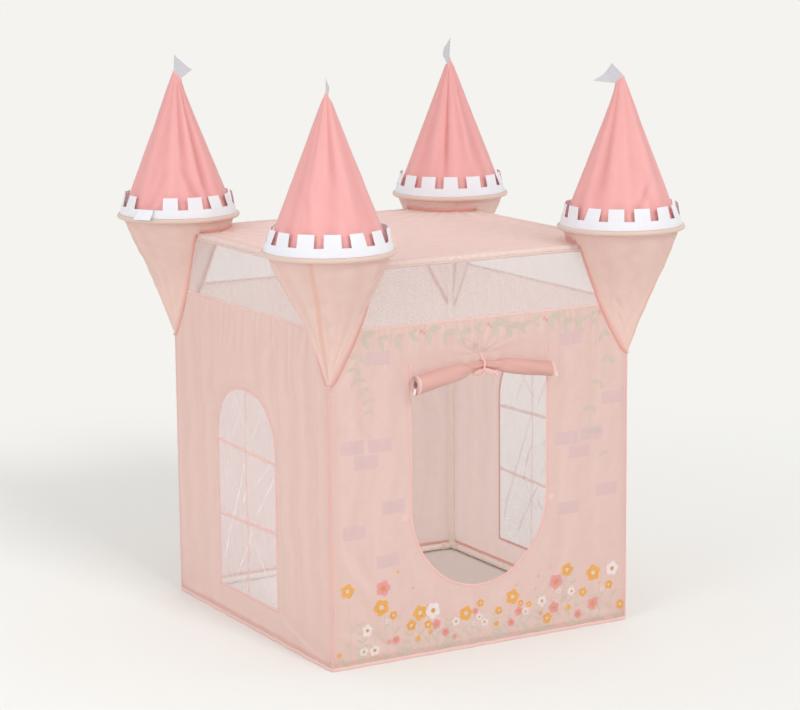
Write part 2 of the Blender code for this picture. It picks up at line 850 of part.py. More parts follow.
def build_tie(tent, cutters):
    """Ribbon from the seam round the pinched roll, with a knot and two tails below."""
    radius, centre, shift = roll_state(door_offset)
    face = -half_depth - gap - cloth_thickness / 2 - shift
    clear = radius + cloth_thickness / 2 + 2 * gap + tie_thickness / 2
    lay = cloth_thickness / 2 + gap + tie_thickness / 2
    middle = face - radius
    top = door_top - gap
    front_start = math.acos((radius - lay) / clear)
    path = [(face - lay, top)]
    for k in range(tie_steps + 1):
        angle = front_start + (2 * math.pi - front_start) * k / tie_steps
        path.append((middle + clear * math.cos(angle), centre + clear * math.sin(angle)))
    path.append((face + lay, top))

    def place(u, v):
        y, z = path[round(u * (len(path) - 1))]
        return door_offset + tie_width * (v - 0.5), y, z

    tie = add_object("door_tie", sheet("door_tie", len(path) - 1, 1, place), tent, RIBBON)
    thicken(tie, tie_thickness, 0)
    low = centre - clear - tie_knot_radius
    bpy.ops.mesh.primitive_uv_sphere_add(segments=knot_sides, ring_count=knot_rings, radius=tie_knot_radius)
    knot = adopt(bpy.context.object, "tie_knot", cutters)
    knot.location = (door_offset, middle, low)
    combine(tie, as_cutter(knot), "UNION")
    half = tie_width / 2
    root = half / 3
    outline = [
        (0, -root), (tie_width, -half), (tie_tail_length, -half),
        (tie_tail_length, half), (tie_width, half), (0, root),
    ]
    stand_up = Matrix.Rotation(math.pi / 2, 4, "X")
    for name, way in [("left", math.pi + tie_tail_angle), ("right", -tie_tail_angle)]:
        tail = plate(f"tie_tail_{name}", outline, tie_thickness, cutters)
        place = Matrix.Translation((door_offset, middle, low))
        tail.matrix_world = place @ stand_up @ Matrix.Rotation(way, 4, "Z")
        combine(tie, as_cutter(tail), "UNION")
    return tie


def build_patches(tent):
    """Fastening patches on the front wall, one on each side of the doorway."""
    half = patch_size / 2
    for name, side in [("left", -1), ("right", 1)]:
        x = door_offset + side * (door_width / 2 + patch_margin + half)
        back = -half_depth - gap
        low = (x - half, back - patch_thickness, patch_height - half)
        patch = block(f"door_patch_{name}", low, (x + half, back, patch_height + half), tent)
        patch.data.materials.append(finish_of(f"door_patch_{name}", WHITE_CLOTH))


def main():
    for old in list(bpy.data.objects):
        bpy.data.objects.remove(old, do_unlink=True)
    tent = new_collection("castle_play_tent")
    cutters = new_collection("cutters")
    build_frame(tent, cutters)
    build_turrets(tent, cutters)
    spaces = {corner: skirt_space(corner, cutters) for corner in CORNERS}
    build_walls(tent, cutters, spaces)
    build_windows(tent, cutters)
    build_net_strips(tent, spaces)
    build_roof(tent, cutters, spaces)
    build_door_roll(tent, cutters)
    build_patches(tent)


main()
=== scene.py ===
"""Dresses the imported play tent: folded cloth, nets, bindings, stitches, print and studio."""
import math

import bpy
import numpy as np
from mathutils import Matrix, Vector


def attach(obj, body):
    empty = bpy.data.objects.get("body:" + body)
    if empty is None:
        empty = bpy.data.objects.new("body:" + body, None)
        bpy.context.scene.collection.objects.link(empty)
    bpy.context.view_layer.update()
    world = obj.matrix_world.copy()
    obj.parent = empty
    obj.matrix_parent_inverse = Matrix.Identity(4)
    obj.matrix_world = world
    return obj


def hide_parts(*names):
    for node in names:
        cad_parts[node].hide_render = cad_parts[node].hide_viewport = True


bl_info = {
    "name": "Castle Play Tent",
    "version": (1, 0, 0),
    "blender": (4, 5, 0),
    "location": "3D View > Sidebar > Play Tent",
    "description": "Dresses a packed castle play tent with sewn cloth, nets and trims",
    "category": "Object",
}

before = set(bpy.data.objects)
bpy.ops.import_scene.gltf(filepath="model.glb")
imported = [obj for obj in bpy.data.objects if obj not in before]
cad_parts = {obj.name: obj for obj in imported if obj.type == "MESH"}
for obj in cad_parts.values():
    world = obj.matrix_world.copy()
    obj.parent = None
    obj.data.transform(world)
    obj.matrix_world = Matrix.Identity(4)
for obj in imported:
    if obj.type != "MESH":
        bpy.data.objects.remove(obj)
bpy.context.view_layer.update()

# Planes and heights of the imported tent
HALF = 0.5
POLE = 0.485
FOOT = 0.0008
HEM = 0.968
NET_TOP = 1.1385
BAR_HEIGHT = 1.140
SLEEVE_RADIUS = 0.0114
ROOF_TOP = 1.1511
ROOF_SAG = 0.012
ROOF_CREASE = 0.048
SLEEVE_END = 0.4427
SLEEVE_SEAM = 0.0235

# Turrets
HOOP_HEIGHT = 1.1927
HOOP_RADIUS = 0.180
HOOP_TUBE = 0.0073
SKIRT_TIP = 0.819
SKIRT_TIP_LENGTH = 0.170
SKIRT_SCALE = 0.3825
SKIRT_SLOPE = 0.4046
SKIRT_INSET = 0.015
# Turn from a pole to the outer corner of its lower cone, and the arc that lies outside the walls
OUTWARD = -0.75 * np.pi
OUTSIDE = 1.5 * np.pi
CONE_RADIUS = 0.1724
CONE_POINT = 1.639
CONE_FOOT = 1.1929
SEAM_HEIGHT = 1.6192
SEAM_HALF = 0.017
SEAM_SHIFT = 0.0075
SEAM_TILT = math.radians(44)
BAND_FOOT = 1.2003
BAND_RADIUS = 0.1788
BAND_TOP_RADIUS = 0.162
BAND_HEIGHT = 0.061
BAND_STRIP = 0.025
MERLONS = 14
MERLON_SHARE = 0.63

# Doorway, its flap, and the windows
DOOR_MIDDLE = -0.011
DOOR_WIDTH = 0.460
DOOR_SILL = 0.184
DOOR_TOP = 0.864
DOOR_CURVE = 0.260
WINDOW_MIDDLE = 0.020
WINDOW_WIDTH = 0.380
WINDOW_SILL = 0.094
WINDOW_SPRING = 0.550
WINDOW_TOP = 0.725
RIBBON_HEIGHTS = (0.322, 0.539)
PATCH_HEIGHT = 0.414

# Quarter turns from the front left corner, and from the front side
CORNERS = {"front_left": 0, "front_right": 1, "back_right": 2, "back_left": 3}
SIDES = ("front", "right", "back", "left")
# Corners of a square, round from its front left one
SQUARE = ((-1, -1), (1, -1), (1, 1), (-1, 1))
# Columns of points across a wall, which its print follows too
WALL_COLUMNS = 251
NET_THICKNESS = 0.0003
FULL_TURN = 2 * np.pi

# Seed, share of the hem gathers and share of the broad folds on each wall
WALL_FOLDS = {
    "front": (11, 0.65, 0.55),
    "right": (23, 1.0, 0.9),
    "back": (37, 1.0, 1.0),
    "left": (41, 1.0, 1.0),
}

# Folds pulled askew by the frame on a wall: from, to, height and width, in metres
PULLED_FOLDS = {
    "left": (
        (0.205, 0.082, 0.455, 0.018, 0.0065, 0.012), (-0.30, 0.05, -0.47, 0.012, 0.0040, 0.014),
        (0.10, 0.78, 0.19, 0.93, 0.0045, 0.016), (-0.12, 0.80, -0.06, 0.95, 0.0040, 0.015),
        (-0.30, 0.62, -0.22, 0.86, 0.0035, 0.018),
    ),
    "front": (
        (-0.300, 0.030, -0.470, 0.110, 0.0045, 0.016), (-0.34, 0.16, -0.475, 0.36, 0.0040, 0.020),
        (0.345, 0.060, 0.470, 0.012, 0.0045, 0.014), (0.30, 0.30, 0.24, 0.13, 0.0035, 0.022),
        (-0.455, 0.74, -0.36, 0.58, 0.0035, 0.018),
    ),
    "right": ((-0.20, 0.08, -0.45, 0.02, 0.0060, 0.013), (0.12, 0.77, 0.2, 0.92, 0.004, 0.016)),
    "back": ((-0.25, 0.06, -0.46, 0.015, 0.0050, 0.014), (0.22, 0.22, 0.45, 0.05, 0.0045, 0.018)),
}


def pigment(red, green, blue):
    """A written colour, 0 to 255 a channel, as Blender's linear colour."""
    shares = [channel / 255 for channel in (red, green, blue)]
    return tuple(s / 12.92 if s < 0.04045 else ((s + 0.055) / 1.055) ** 2.4 for s in shares)


def length_setting(name, description, default):
    return bpy.props.FloatProperty(
        name=name, description=description, default=default, min=0, subtype="DISTANCE",
        unit="LENGTH", precision=4,
    )


def colour_setting(name, description, default):
    return bpy.props.FloatVectorProperty(
        name=name, description=description, default=default, size=3, min=0, max=1, subtype="COLOR",
    )


class PlayTentSettings(bpy.types.PropertyGroup):
    """Sizes and colours of the sewn tent."""
    cloth_thickness: length_setting("Cloth", "Thickness of the tent cloth", 0.0005)
    gather_depth: length_setting("Gather depth", "Depth of the gathers under the hem", 0.0078)
    gather_spacing: length_setting("Gather spacing", "Width of one gather under the hem", 0.031)
    fold_depth: length_setting("Fold depth", "Depth of the broad folds of the walls", 0.0115)
    fold_spacing: length_setting("Fold spacing", "Width of one broad fold", 0.105)
    binding_width: length_setting("Binding", "Width of the bindings of doorway and windows", 0.0075)
    stitch_length: length_setting("Stitch", "Length of one stitch", 0.0030)
    stitch_spacing: length_setting("Stitch spacing", "From one stitch to the next", 0.0042)
    net_cover: bpy.props.FloatProperty(
        name="Net cover", description="Share of the net that is thread and not hole",
        default=0.28, min=0, max=1, subtype="FACTOR",
    )
    wall_colour: colour_setting("Walls", "Colour of the wall cloth", pigment(245, 219, 212))
    skirt_colour: colour_setting("Skirts", "Colour of the lower cones", pigment(255, 230, 221))
    roof_colour: colour_setting("Roof", "Colour of the roof cloth", pigment(253, 227, 220))
    cone_colour: colour_setting("Cones", "Colour of the upper cones", pigment(247, 180, 177))
    flap_colour: colour_setting("Door flap", "Colour of the door flap", pigment(240, 188, 177))
    binding_colour: colour_setting("Bindings", "Colour of the bias bindings", pigment(252, 208, 202))
    piping_colour: colour_setting("Piping", "Colour of seam bands and hem", pigment(250, 190, 176))
    white_colour: colour_setting("Battlements", "Colour of the white felt", pigment(246, 247, 252))
    flag_colour: colour_setting("Flags", "Colour of the pennants", pigment(214, 211, 217))
    net_colour: colour_setting("Net", "Colour of the net", pigment(233, 223, 222))
    frame_colour: colour_setting("Frame", "Colour of the frame tubes", pigment(253, 246, 238))
    hoop_colour: colour_setting("Hoops", "Colour of the turret hoops", pigment(217, 191, 178))
    floor_colour: colour_setting("Floor", "Colour of the studio floor", pigment(244, 243, 239))


def settings():
    return bpy.context.scene.play_tent


# Shapes of the sewing pattern

def ease(value, low, high):
    """0 below low, 1 above high, and a smooth step between."""
    share = np.clip((value - low) / (high - low), 0, 1)
    return share * share * (3 - 2 * share)


def uneven_wave(place, spacing, seed, spread=0.32, parts=4):
    """Folds of uneven width along place, from -1 to 1."""
    random = np.random.default_rng(seed)
    total = np.zeros_like(place, dtype=float)
    for _ in range(parts):
        length = spacing * (1 + spread * random.uniform(-1, 1))
        total += random.uniform(0.5, 1) * np.sin(FULL_TURN * (place / length + random.uniform()))
    return np.tanh(1.4 * total / math.sqrt(parts))


def folds_out(place, spacing, seed, spread=0.32):
    """The same folds from 0 to 1, for cloth that only stands outwards."""
    return 0.5 + 0.5 * uneven_wave(place, spacing, seed, spread)


def unit(vectors):
    """Rows of vectors, each brought to length 1."""
    return vectors / np.maximum(np.linalg.norm(vectors, axis=1, keepdims=True), 1e-12)


def quarter_turns(count):
    """The rotation by some quarter turns about the tent's upright axis."""
    return np.array(Matrix.Rotation(count * math.pi / 2, 3, "Z"))


def near_segment(across, height, start, end, bend=0.0):
    """How far along a straight line each point lies, and how far off it; bend bows the line sideways."""
    (x0, h0), (x1, h1) = start, end
    length = (x1 - x0) ** 2 + (h1 - h0) ** 2
    share = np.clip(((across - x0) * (x1 - x0) + (height - h0) * (h1 - h0)) / length, 0, 1)
    sideways = across - x0 - share * (x1 - x0) - bend * np.sin(np.pi * share)
    return share, np.hypot(sideways, height - h0 - share * (h1 - h0))


def crumple(across, along, size, seed, waves=22):
    """Uneven dents in all directions, about from -1 to 1."""
    random = np.random.default_rng(seed)
    total = np.zeros_like(across + along, dtype=float)
    for _ in range(waves):
        angle = random.uniform(0, np.pi)
        length = size * random.uniform(0.6, 2.0)
        way = across * math.cos(angle) + along * math.sin(angle)
        total += np.sin(FULL_TURN * (way / length + random.uniform()))
    return total / math.sqrt(waves)


def arch_loop(middle, width, sill, spring, top, steps=40):
    """Outline of a window: a flat sill, straight sides and a low round top."""
    half = width / 2
    turns = np.linspace(0, np.pi, steps)
    across = np.sign(np.cos(turns)) * np.abs(np.cos(turns)) ** 0.86
    curve = np.stack([middle + half * across, spring + (top - spring) * np.abs(np.sin(turns)) ** 0.86], 1)
    return np.concatenate([[(middle - half, sill), (middle + half, sill)], curve])


def door_loop(steps=60):
    """Outline of the doorway, from its top left corner down, round and up."""
    half = DOOR_WIDTH / 2
    turns = np.linspace(np.pi, FULL_TURN, steps)
    low = DOOR_SILL + DOOR_CURVE
    curve = np.stack([DOOR_MIDDLE + half * np.cos(turns), low + DOOR_CURVE * np.sin(turns)], 1)
    top = [(DOOR_MIDDLE + half, DOOR_TOP), (DOOR_MIDDLE - half, DOOR_TOP)]
    return np.concatenate([curve, top])


def skirt_ring(height):
    """Radius, inset of the wall plane and shift of the centre of the lower cone at a height."""
    rise = np.maximum(height - SKIRT_TIP, 0)
    radius = SKIRT_SCALE * np.sqrt(rise * (rise + SKIRT_TIP_LENGTH))
    settled = ease(rise, 0, SKIRT_TIP_LENGTH)
    return radius, SKIRT_INSET * settled, -SKIRT_INSET * (1 - settled)


def seam_reach(height):
    """Distance of the U seam from the wall's corner at a height."""
    radius, inset, _ = skirt_ring(height)
    return inset + np.sqrt(np.maximum(radius ** 2 - inset ** 2, 0))


def skirt_loops(top):
    """Outlines that the two lower cones cut out of a wall, out past its edge."""
    heights = np.linspace(SKIRT_TIP, top + 0.01, 50)
    reach = seam_reach(heights)
    right = np.stack([HALF - reach, heights], 1)
    right = np.concatenate([[(HALF, SKIRT_TIP)], right, [(HALF + 0.1, top + 0.01), (HALF + 0.1, SKIRT_TIP)]])
    return [right, right * (-1, 1)]


def openings(side):
    """Outlines of the openings of a wall, in its own across and height."""
    if side == "front":
        return [door_loop()]
    if side == "back":
        return []
    middle = WINDOW_MIDDLE if side == "right" else -WINDOW_MIDDLE
    return [arch_loop(middle, WINDOW_WIDTH, WINDOW_SILL, WINDOW_SPRING, WINDOW_TOP)]


def inside_loop(points, loop):
    """Which points lie inside an outline."""
    inside = np.zeros(len(points), bool)
    for (x0, y0), (x1, y1) in zip(loop, np.roll(loop, -1, 0)):
        crosses = (y0 > points[:, 1]) != (y1 > points[:, 1])
        if y0 != y1:
            inside ^= crosses & (points[:, 0] < x0 + (points[:, 1] - y0) * (x1 - x0) / (y1 - y0))
    return inside


def nearest_on(points, loops):
    """The nearest outline point of each point, and how far it is."""
    best = np.full(len(points), 1e9)
    found = points.copy()
    for loop in loops:
        for start, end in zip(loop, np.roll(loop, -1, 0)):
            way = end - start
            span = way @ way
            if span == 0:
                continue
            share = np.clip((points - start) @ way / span, 0, 1)
            near = start + share[:, None] * way
            gap = np.linalg.norm(points - near, axis=1)
            closer = gap < best
            best[closer] = gap[closer]
            found[closer] = near[closer]
    return found, best


def cut_grid(acrosses, heights, cuts, keep_inside=False):
    """A flat grid with outlines cut out of it, or only what lies inside them."""
    across, height = np.meshgrid(acrosses, heights, indexing="ij")
    points = np.stack([across.ravel(), height.ravel()], 1)
    gone = np.zeros(len(points), bool)
    for loop in cuts:
        gone |= inside_loop(points, loop)
    if keep_inside:
        gone = ~gone
    faces = grid_faces(len(acrosses), len(heights))
    faces = faces[gone[faces].sum(1) < 4]
    if cuts:
        rim = np.unique(faces[gone[faces]])
        points[rim] = nearest_on(points[rim], cuts)[0]
    corners = points[faces]
    diagonal = corners[:, 2] - corners[:, 0]
    other = corners[:, 3] - corners[:, 1]
    area = np.abs(diagonal[:, 0] * other[:, 1] - diagonal[:, 1] * other[:, 0]) / 2
    faces = faces[area > 1e-9]
    used, renumbered = np.unique(faces, return_inverse=True)
    return points[used], renumbered.reshape(faces.shape)


def grid_faces(columns, rows, closed=False):
    """Quads of a grid of points, column by column, seen with columns to the right and rows up."""
    last = columns if closed else columns - 1
    i, j = np.meshgrid(np.arange(last), np.arange(rows - 1), indexing="ij")
    i, j = i.ravel(), j.ravel()
    right = (i + 1) % columns
    return np.stack([i * rows + j, right * rows + j, right * rows + j + 1, i * rows + j + 1], 1)


# Meshes and pieces

def mesh_of(name, points, faces, flat=None, sharp=50):
    mesh = bpy.data.meshes.new(name)
    mesh.from_pydata(np.asarray(points).tolist(), [], faces if isinstance(faces, list) else faces.tolist())
    if flat is not None:
        layer = mesh.uv_layers.new(name="cloth")
        corner = np.zeros(len(mesh.loops), np.int32)
        mesh.loops.foreach_get("vertex_index", corner)
        layer.data.foreach_set("uv", np.asarray(flat, np.float32)[corner].ravel())
    mesh.update()
    mesh.shade_smooth()
    mesh.set_sharp_from_angle(angle=math.radians(sharp))
    return mesh


def shell_mesh(name, outer, inner, faces, flat=None, sharp=50):
    """A closed sheet: an outer layer, an inner layer, and a rim along every free edge."""
    count = len(outer)
    starts = np.concatenate([faces[:, k] for k in range(4)])
    ends = np.concatenate([faces[:, (k + 1) % 4] for k in range(4)])
    key = starts.astype(np.int64) * count + ends
    opposite = ends.astype(np.int64) * count + starts
    free = ~np.isin(key, opposite) & (starts != ends)
    a, b = starts[free], ends[free]
    rim = np.stack([b, a, a + count, b + count], 1)
    both = np.concatenate([faces, faces[:, ::-1] + count, rim])
    points = np.concatenate([outer, inner])
    uv = None if flat is None else np.concatenate([flat, flat])
    return mesh_of(name, points, both, uv, sharp)


def fold_shares(points, faces, rounds=14):
    """How far each point stands out of its smoothed surroundings: 1 on ridges, -1 in valleys."""
    count = len(points)
    starts = np.concatenate([faces[:, k] for k in range(4)])
    ends = np.concatenate([faces[:, (k + 1) % 4] for k in range(4)])
    near = np.maximum(np.bincount(starts, minlength=count) + np.bincount(ends, minlength=count), 1)
    smooth = points.copy()
    for _ in range(rounds):
        total = np.stack([
            np.bincount(starts, smooth[ends, k], count) + np.bincount(ends, smooth[starts, k], count) for k in range(3)
        ], 1)
        smooth = total / near[:, None]
    proud = ((points - smooth) * normals_of(points, faces)).sum(1)
    return np.clip(proud / max(np.percentile(np.abs(proud), 85), 1e-6), -1.6, 1.6)


def note_fold_shading(mesh, points, faces, rounds=14):
    """Stores the folds on a shell's two layers, for its cloth to paint shade into the valleys and a highlight on the
    ridges.
    """
    shares = fold_shares(points, faces, rounds)
    layer = mesh.attributes.new("fold", "FLOAT", "POINT")
    layer.data.foreach_set("value", np.concatenate([shares, -shares]).astype(np.float32))


def normals_of(points, faces):
    """Smooth normals of a grid's points."""
    corners = points[faces]
    face_normals = np.cross(corners[:, 2] - corners[:, 0], corners[:, 3] - corners[:, 1])
    total = np.zeros_like(points)
    for k in range(4):
        np.add.at(total, faces[:, k], face_normals)
    return unit(total)


def sheet_mesh(name, points, faces, flat, thickness, out=0.0):
    """A closed sheet of even thickness, whose outer layer stands out from the points by out."""
    normals = normals_of(points, faces)
    outer = points + normals * out
    return shell_mesh(name, outer, outer - normals * thickness, faces, flat)


def add_piece(name, mesh, material, body, replaces=()):
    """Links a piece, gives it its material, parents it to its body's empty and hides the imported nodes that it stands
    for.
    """
    piece = bpy.data.objects.new(name, mesh)
    bpy.context.scene.collection.objects.link(piece)
    if material is not None:
        mesh.materials.clear()
        mesh.materials.append(material)
    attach(piece, body)
    if replaces:
        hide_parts(*replaces)
    return piece


# Node trees that make what repeats or follows a seam

def new_group(name, family, inputs, outputs):
    """A node group with its sockets, its input node and its output node."""
    group = bpy.data.node_groups.new(name, family)
    for label, kind, default in inputs:
        socket = group.interface.new_socket(label, in_out="INPUT", socket_type=f"NodeSocket{kind}")
        if default is not None:
            socket.default_value = default
    for label, kind in outputs:
        group.interface.new_socket(label, in_out="OUTPUT", socket_type=f"NodeSocket{kind}")
    return group, group.nodes.new("NodeGroupInput"), group.nodes.new("NodeGroupOutput")


def tree_of(name, inputs):
    """A group that turns geometry into geometry, and is given the material of what it makes."""
    inputs = [("Geometry", "Geometry", None), *inputs, ("Material", "Material", None)]
    return new_group(name, "GeometryNodeTree", inputs, [("Geometry", "Geometry")])


def add_node(tree, kind, links=None, **values):
    """A node with its properties set, and each named input linked or given a number."""
    node = tree.nodes.new(kind)
    for key, value in values.items():
        setattr(node, key, value)
    for key, source in (links or {}).items():
        socket = node.inputs[key]
        if isinstance(source, bpy.types.NodeSocket):
            tree.links.new(source, socket)
        else:
            socket.default_value = source
    return node


def math_node(tree, operation, *values):
    return add_node(tree, "ShaderNodeMath", dict(enumerate(values)), operation=operation).outputs[0]


def scaled(tree, vector, share):
    """A vector or colour times a share that varies."""
    return add_node(tree, "ShaderNodeVectorMath", {0: vector, "Scale": share}, operation="SCALE").outputs[0]


def finish_tree(tree, geometry, given, out):
    """Makes the geometry real, gives it the tree's material and hands it out."""
    real = add_node(tree, "GeometryNodeRealizeInstances", {"Geometry": geometry})
    dressed = add_node(
        tree, "GeometryNodeSetMaterial", {"Geometry": real.outputs[0], "Material": given.outputs["Material"]},
    )
    tree.links.new(dressed.outputs[0], out.inputs[0])
    return tree


def seam_curve(tree, given):
    """The seam lines as curves whose normals face away from the cloth."""
    facing = add_node(tree, "GeometryNodeInputNamedAttribute", {"Name": "facing"}, data_type="FLOAT_VECTOR")
    curve = add_node(tree, "GeometryNodeMeshToCurve", {"Mesh": given.outputs["Geometry"]})
    turned = add_node(
        tree, "GeometryNodeSetCurveNormal",
        {"Curve": curve.outputs[0], "Normal": facing.outputs["Attribute"]}, mode="FREE",
    )
    return turned.outputs[0], facing.outputs["Attribute"]


def binding_tree():
    """A folded strip sewn along seam lines, with small puckers."""
    tree, given, out = tree_of("Sewn binding", [
        ("Width", "Float", 0.008), ("Thickness", "Float", 0.0014), ("Pucker depth", "Float", 0.0003),
        ("Pucker length", "Float", 0.01), ("Seed", "Float", 1.0),
    ])
    curve, facing = seam_curve(tree, given)
    rate = math_node(tree, "DIVIDE", 1.0, given.outputs["Pucker length"])
    noise = add_node(
        tree, "ShaderNodeTexNoise", {"W": given.outputs["Seed"], "Scale": rate, "Detail": 1.0}, noise_dimensions="4D",
    )
    centred = math_node(tree, "SUBTRACT", noise.outputs[0], 0.5)
    depth = math_node(tree, "MULTIPLY", centred, given.outputs["Pucker depth"])
    moved = add_node(tree, "GeometryNodeSetPosition", {"Geometry": curve, "Offset": scaled(tree, facing, depth)})
    section = add_node(
        tree, "GeometryNodeCurvePrimitiveQuadrilateral",
        {"Width": given.outputs["Thickness"], "Height": given.outputs["Width"]},
    )
    corner = math_node(tree, "MULTIPLY", given.outputs["Thickness"], 0.42)
    rounded = add_node(
        tree, "GeometryNodeFilletCurve",
        {"Curve": section.outputs[0], "Count": 2, "Radius": corner, "Limit Radius": True}, mode="POLY",
    )
    strip = add_node(
        tree, "GeometryNodeCurveToMesh",
        {"Curve": moved.outputs[0], "Profile Curve": rounded.outputs[0], "Fill Caps": True},
    )
    return finish_tree(tree, strip.outputs[0], given, out)


def stitch_tree():
    """Thread dashes laid along seam lines at an even spacing."""
    tree, given, out = tree_of("Row of stitches", [
        ("Length", "Float", 0.003), ("Spacing", "Float", 0.0042), ("Thread", "Float", 0.0005),
    ])
    curve, _ = seam_curve(tree, given)
    even = add_node(
        tree, "GeometryNodeResampleCurve", {"Curve": curve, "Length": given.outputs["Spacing"]}, mode="LENGTH",
    )
    size = add_node(tree, "ShaderNodeCombineXYZ", {
        "X": given.outputs["Length"], "Y": given.outputs["Thread"], "Z": given.outputs["Thread"],
    })
    dash = add_node(tree, "GeometryNodeMeshCube", {"Size": size.outputs[0]})
    normal = add_node(tree, "GeometryNodeInputNormal")
    tangent = add_node(tree, "GeometryNodeInputTangent")
    turn = add_node(
        tree, "FunctionNodeAxesToRotation",
        {"Primary Axis": normal.outputs[0], "Secondary Axis": tangent.outputs[0]},
        primary_axis="Z", secondary_axis="X",
    )
    row = add_node(tree, "GeometryNodeInstanceOnPoints", {
        "Points": even.outputs[0], "Instance": dash.outputs["Mesh"], "Rotation": turn.outputs[0],
    })
    return finish_tree(tree, row.outputs[0], given, out)


def hoop_tree():
    """A bent tube that closes on itself."""
    tree, given, out = tree_of("Turret hoop", [
        ("Radius", "Float", 0.18), ("Tube radius", "Float", 0.0073), ("Steps", "Int", 160),
    ])
    ring = add_node(
        tree, "GeometryNodeCurvePrimitiveCircle",
        {"Resolution": given.outputs["Steps"], "Radius": given.outputs["Radius"]},
    )
    section = add_node(
        tree, "GeometryNodeCurvePrimitiveCircle",
        {"Resolution": 20, "Radius": given.outputs["Tube radius"]},
    )
    tube = add_node(
        tree, "GeometryNodeCurveToMesh", {"Curve": ring.outputs[0], "Profile Curve": section.outputs[0]},
    )
    return finish_tree(tree, tube.outputs[0], given, out)


def grown(name, mesh, tree, values):
    """The plain mesh that a node tree makes of a start mesh."""
    start = bpy.data.objects.new(f"{name}_start", mesh)
    bpy.context.scene.collection.objects.link(start)
    step = start.modifiers.new(tree.name, "NODES")
    step.node_group = tree
    for item in tree.interface.items_tree:
        if item.item_type == "SOCKET" and item.in_out == "INPUT" and item.name in values:
            step[item.identifier] = values[item.name]
    start.update_tag()
    graph = bpy.context.evaluated_depsgraph_get()
    made = bpy.data.meshes.new_from_object(start.evaluated_get(graph), depsgraph=graph)
    bpy.data.objects.remove(start)
    made.name = name
    return made


def seam_lines(name, lines):
    """Seam lines as one mesh of edges; each is its points, its facings, and if it closes."""
    points, facings, edges = [], [], []
    for line, facing, closed in lines:
        base = len(points)
        count = len(line)
        points += np.asarray(line).tolist()
        facings += np.broadcast_to(np.asarray(facing, float), (count, 3)).tolist()
        edges += [(base + k, base + k + 1) for k in range(count - 1)]
        if closed:
            edges.append((base + count - 1, base))
    mesh = bpy.data.meshes.new(name)
    mesh.from_pydata(points, edges, [])
    layer = mesh.attributes.new("facing", "FLOAT_VECTOR", "POINT")
    layer.data.foreach_set("vector", np.asarray(facings, np.float32).ravel())
    return mesh


TREES = {}


def tree_named(build):
    if build.__name__ not in TREES:
        TREES[build.__name__] = build()
    return TREES[build.__name__]


def sew(
    name, lines, width, thickness, material, pucker=0.0003, pucker_length=0.010, seed=1.0,
    body="tent",
):
    """A binding along seam lines as a finished piece."""
    made = grown(name, seam_lines(name, lines), tree_named(binding_tree), {
        "Width": width, "Thickness": thickness, "Pucker depth": pucker,
        "Pucker length": pucker_length, "Seed": seed, "Material": material,
    })
    made.shade_smooth()
    made.set_sharp_from_angle(angle=math.radians(60))
    return add_piece(name, made, None, body)


def stitch(name, lines, material):
    """Rows of stitches along seam lines as a finished piece of the tent."""
    look = settings()
    made = grown(name, seam_lines(name, lines), tree_named(stitch_tree), {
        "Length": look.stitch_length, "Spacing": look.stitch_spacing, "Thread": 0.0005, "Material": material,
    })
    return add_piece(name, made, None, "tent")


def beside(line, facing, gap, lift=0.0):
    """A seam line moved sideways in its cloth by a gap, and lifted off it."""
    line = np.asarray(line, float)
    facing = np.broadcast_to(np.asarray(facing, float), line.shape)
    way = np.gradient(line, axis=0)
    return line + unit(np.cross(way, facing)) * gap + facing * lift


# Walls

